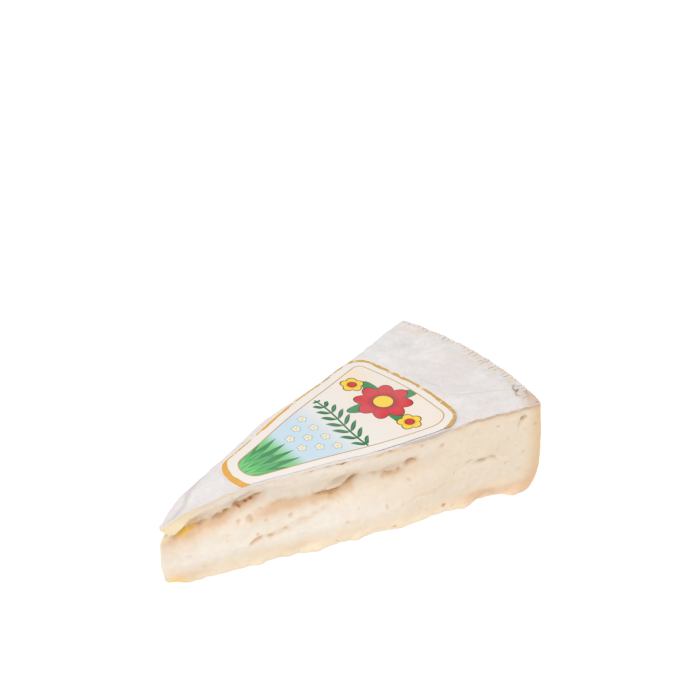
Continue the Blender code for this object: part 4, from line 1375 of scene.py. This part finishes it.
def flower_spray(tree, field, along, across):
    """Flowers at the wide end, the large one on four leaves."""
    distance, angle = polar(along, across, LARGE_FLOWER)
    leaf_wave = calc(tree, "COSINE", angle * 4 + 0.9).at_least(0)
    leaf_edge = leaf_wave * leaf_wave * 7.5 + 8.5
    field = layer((distance - leaf_edge).inside(0.3, 0.07), field, OUTLINE)
    field = layer((distance - leaf_edge).inside(-0.1, 0.07), field, LEAF_DARK)
    for centre, radius, petals, turn, petal_tint, shade_tint, heart_tint in FLOWERS:
        distance, angle = polar(along, across, centre)
        beyond = distance - petal_edge(angle, radius, petals, turn, 0.26)
        field = layer(beyond.inside(0.35, 0.07), field, OUTLINE)
        field = layer(beyond.inside(-0.1, 0.07), field, petal_tint)
        between = abs(calc(tree, "COSINE", angle * (petals / 2) + turn)).inside(0.10, 0.04)
        field = layer(between * distance.inside(radius * 0.68, 0.2) * 0.8, field, shade_tint)
        shade = distance.inside(radius * 0.52, radius * 0.1)
        field = layer(shade * 0.7, field, shade_tint)
        field = layer(distance.inside(radius * 0.34 + 0.35, 0.07), field, OUTLINE)
        field = layer(distance.inside(radius * 0.34, 0.07), field, heart_tint)
    return field


def label_material(patches, grain):
    """Printed paper: gold and brown border lines, a fan of leaves, a pale sky, a leafy sprig and flowers."""
    material, tree, shader = new_material("printed label paper")
    place = place_in_mm(tree)
    apex = [(LABEL_APEX[0] - MIDDLE[0]) / MM, (LABEL_APEX[1] - MIDDLE[1]) / MM, 0]
    along, across, _ = split(moved(moved(place, [-apex[0], -apex[1], 0]), turn=-LABEL_TURN))
    inset = whole_inset(along, across, LABEL_NARROW_RADIUS / MM)
    into_field = whole_inset(along, across, FIELD_NARROW_RADIUS) - FIELD_INSET

    # The field inside the border: green at the narrow end, then pale blue, white, and cream at the wide end
    field = layer(ramp(along, 53, 61), LEAF_LIGHT, SKY)
    field = layer(ramp(along, 70, 88), field, PAPER_WHITE)
    field = layer(ramp(along, 90, 112) * ramp(cloud(place, 30), 0.2, 0.6), field, CREAM)
    field = leaf_fan(tree, field, along, across)
    field = daisies(tree, field, along, across)
    field = leafy_sprig(tree, field, along, across)
    field = flower_spray(tree, field, along, across)

    # The border: white paper, a brown line round the field, and a worn gold band, thick at the narrow end
    colour = layer(ramp(into_field, -0.05, 0.05), PAPER_WHITE, field)
    colour = layer(abs(into_field).inside(0.22, 0.06), colour, LINE_BROWN)
    wide_end = ramp(along, 112, 122)
    width = along.inside(34.5, 2.5) * 2.1 + wide_end * 0.7 + ramp(cloud(place, 9), 0.45, 0.6) * 0.5 + 0.7
    ragged = (cloud(place, 1.5, 3) - 0.5) * (wide_end * 0.5 + 0.5)
    gold = ramp(inset + ragged, GOLD_INSET - 0.1, GOLD_INSET + 0.1)
    gold = gold * (inset - width - ragged).inside(GOLD_INSET, 0.08)
    colour = layer(gold, colour, layer(ramp(along, 60, 115), GOLD, OLD_GOLD))
    worn = ramp(cloud(place, 1.6, 4), 0.60, 0.75) * inset.inside(4.0, 1.0)
    patchy = ramp(cloud(moved(place, (8, 2, 5)), 4.5, 3), 0.54, 0.62)
    rubbed = patchy * inset.inside(2.6, 0.4) * ramp(along, 36, 42)
    colour = layer((worn * 0.45).at_least(rubbed * 0.75), colour, PAPER_WHITE)
    stained = use_group(tree, patches, Place=place, Size=16.0, Edge=0.15)
    colour = layer(stained * 0.10, colour, RIND_GREY)

    join(tree, colour, shader.inputs["Base Color"])
    join(tree, ramp(cloud(place, 6, 3), 0.3, 0.7) * 0.12 + 0.4, shader.inputs["Roughness"])
    shader.inputs["Specular IOR Level"].default_value = 0.3
    fibres = use_group(tree, grain, Place=place, Size=0.5, Depth=0.05)
    set_relief(tree, shader, fibres, 0.35)
    return material


# The studio: a pale floor just below the wedge, one wide light over its near side, and the photo's camera
FLOOR_REACH, FLOOR_HEIGHT = 4, -0.1 * MM
FLOOR_GLOW = 0.8
WORLD_LIGHT = 0.70
LIGHT_PLACE = (-0.32, -0.27, 0.98)
LIGHT_SIZE, LIGHT_POWER = 0.7, 5.0
CAMERA_PLACE = (-0.53305, -0.64879, 0.54430)
CAMERA_TARGET = (0.06528, 0.06418, 0.02)
CAMERA_LENS, CAMERA_SENSOR = 129.885, 36


def studio_floor():
    mesh = bpy.data.meshes.new("studio_floor")
    signs = ((-1, -1), (1, -1), (1, 1), (-1, 1))
    corners = [(x * FLOOR_REACH, y * FLOOR_REACH, FLOOR_HEIGHT) for x, y in signs]
    mesh.from_pydata(corners, [], [(0, 1, 2, 3)])
    material, tree, shader = new_material("pale floor")
    place = place_in_mm(tree)
    shader.inputs["Roughness"].default_value = 0.9
    shader.inputs["Specular IOR Level"].default_value = 0.1
    join(tree, layer(cloud(place, 90), (0.24, 0.24, 0.24), (0.26, 0.26, 0.26)), shader.inputs["Base Color"])
    shader.inputs["Emission Color"].default_value = (1, 1, 1, 1)
    shader.inputs["Emission Strength"].default_value = FLOOR_GLOW
    mesh.materials.append(material)
    return new_object("studio_floor", mesh)


def aimed_object(name, data, place, target):
    """An object put at a place, looking at a target."""
    made = new_object(name, data)
    made.location = place
    made.rotation_euler = (Vector(target) - Vector(place)).to_track_quat("-Z", "Y").to_euler()
    return made


def studio_light():
    light = bpy.data.lights.new("key light", "AREA")
    light.size = LIGHT_SIZE
    light.energy = LIGHT_POWER
    aimed_object("key light", light, LIGHT_PLACE, (0, 0, 0))


def studio_camera():
    camera = bpy.data.cameras.new("product camera")
    camera.sensor_width = CAMERA_SENSOR
    camera.lens = CAMERA_LENS
    bpy.context.scene.camera = aimed_object("product camera", camera, CAMERA_PLACE, CAMERA_TARGET)


def studio():
    scene = bpy.context.scene
    world = bpy.data.worlds.new("studio")
    world.use_nodes = True
    sky = world.node_tree.nodes["Background"]
    sky.inputs["Color"].default_value = (1, 1, 1, 1)
    sky.inputs["Strength"].default_value = WORLD_LIGHT
    scene.world = world
    scene.view_settings.view_transform = "Standard"
    studio_light()
    studio_camera()
    studio_floor()


def main():
    patches, grain = patches_group(), grain_group()
    wedge = cheese_body(rind_material(patches, grain), paste_material(patches, grain))
    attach(wedge, "root")
    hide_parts("cheese")
    label = paper_label(label_material(patches, grain))
    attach(label, "root")
    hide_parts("label")
    studio()


main()
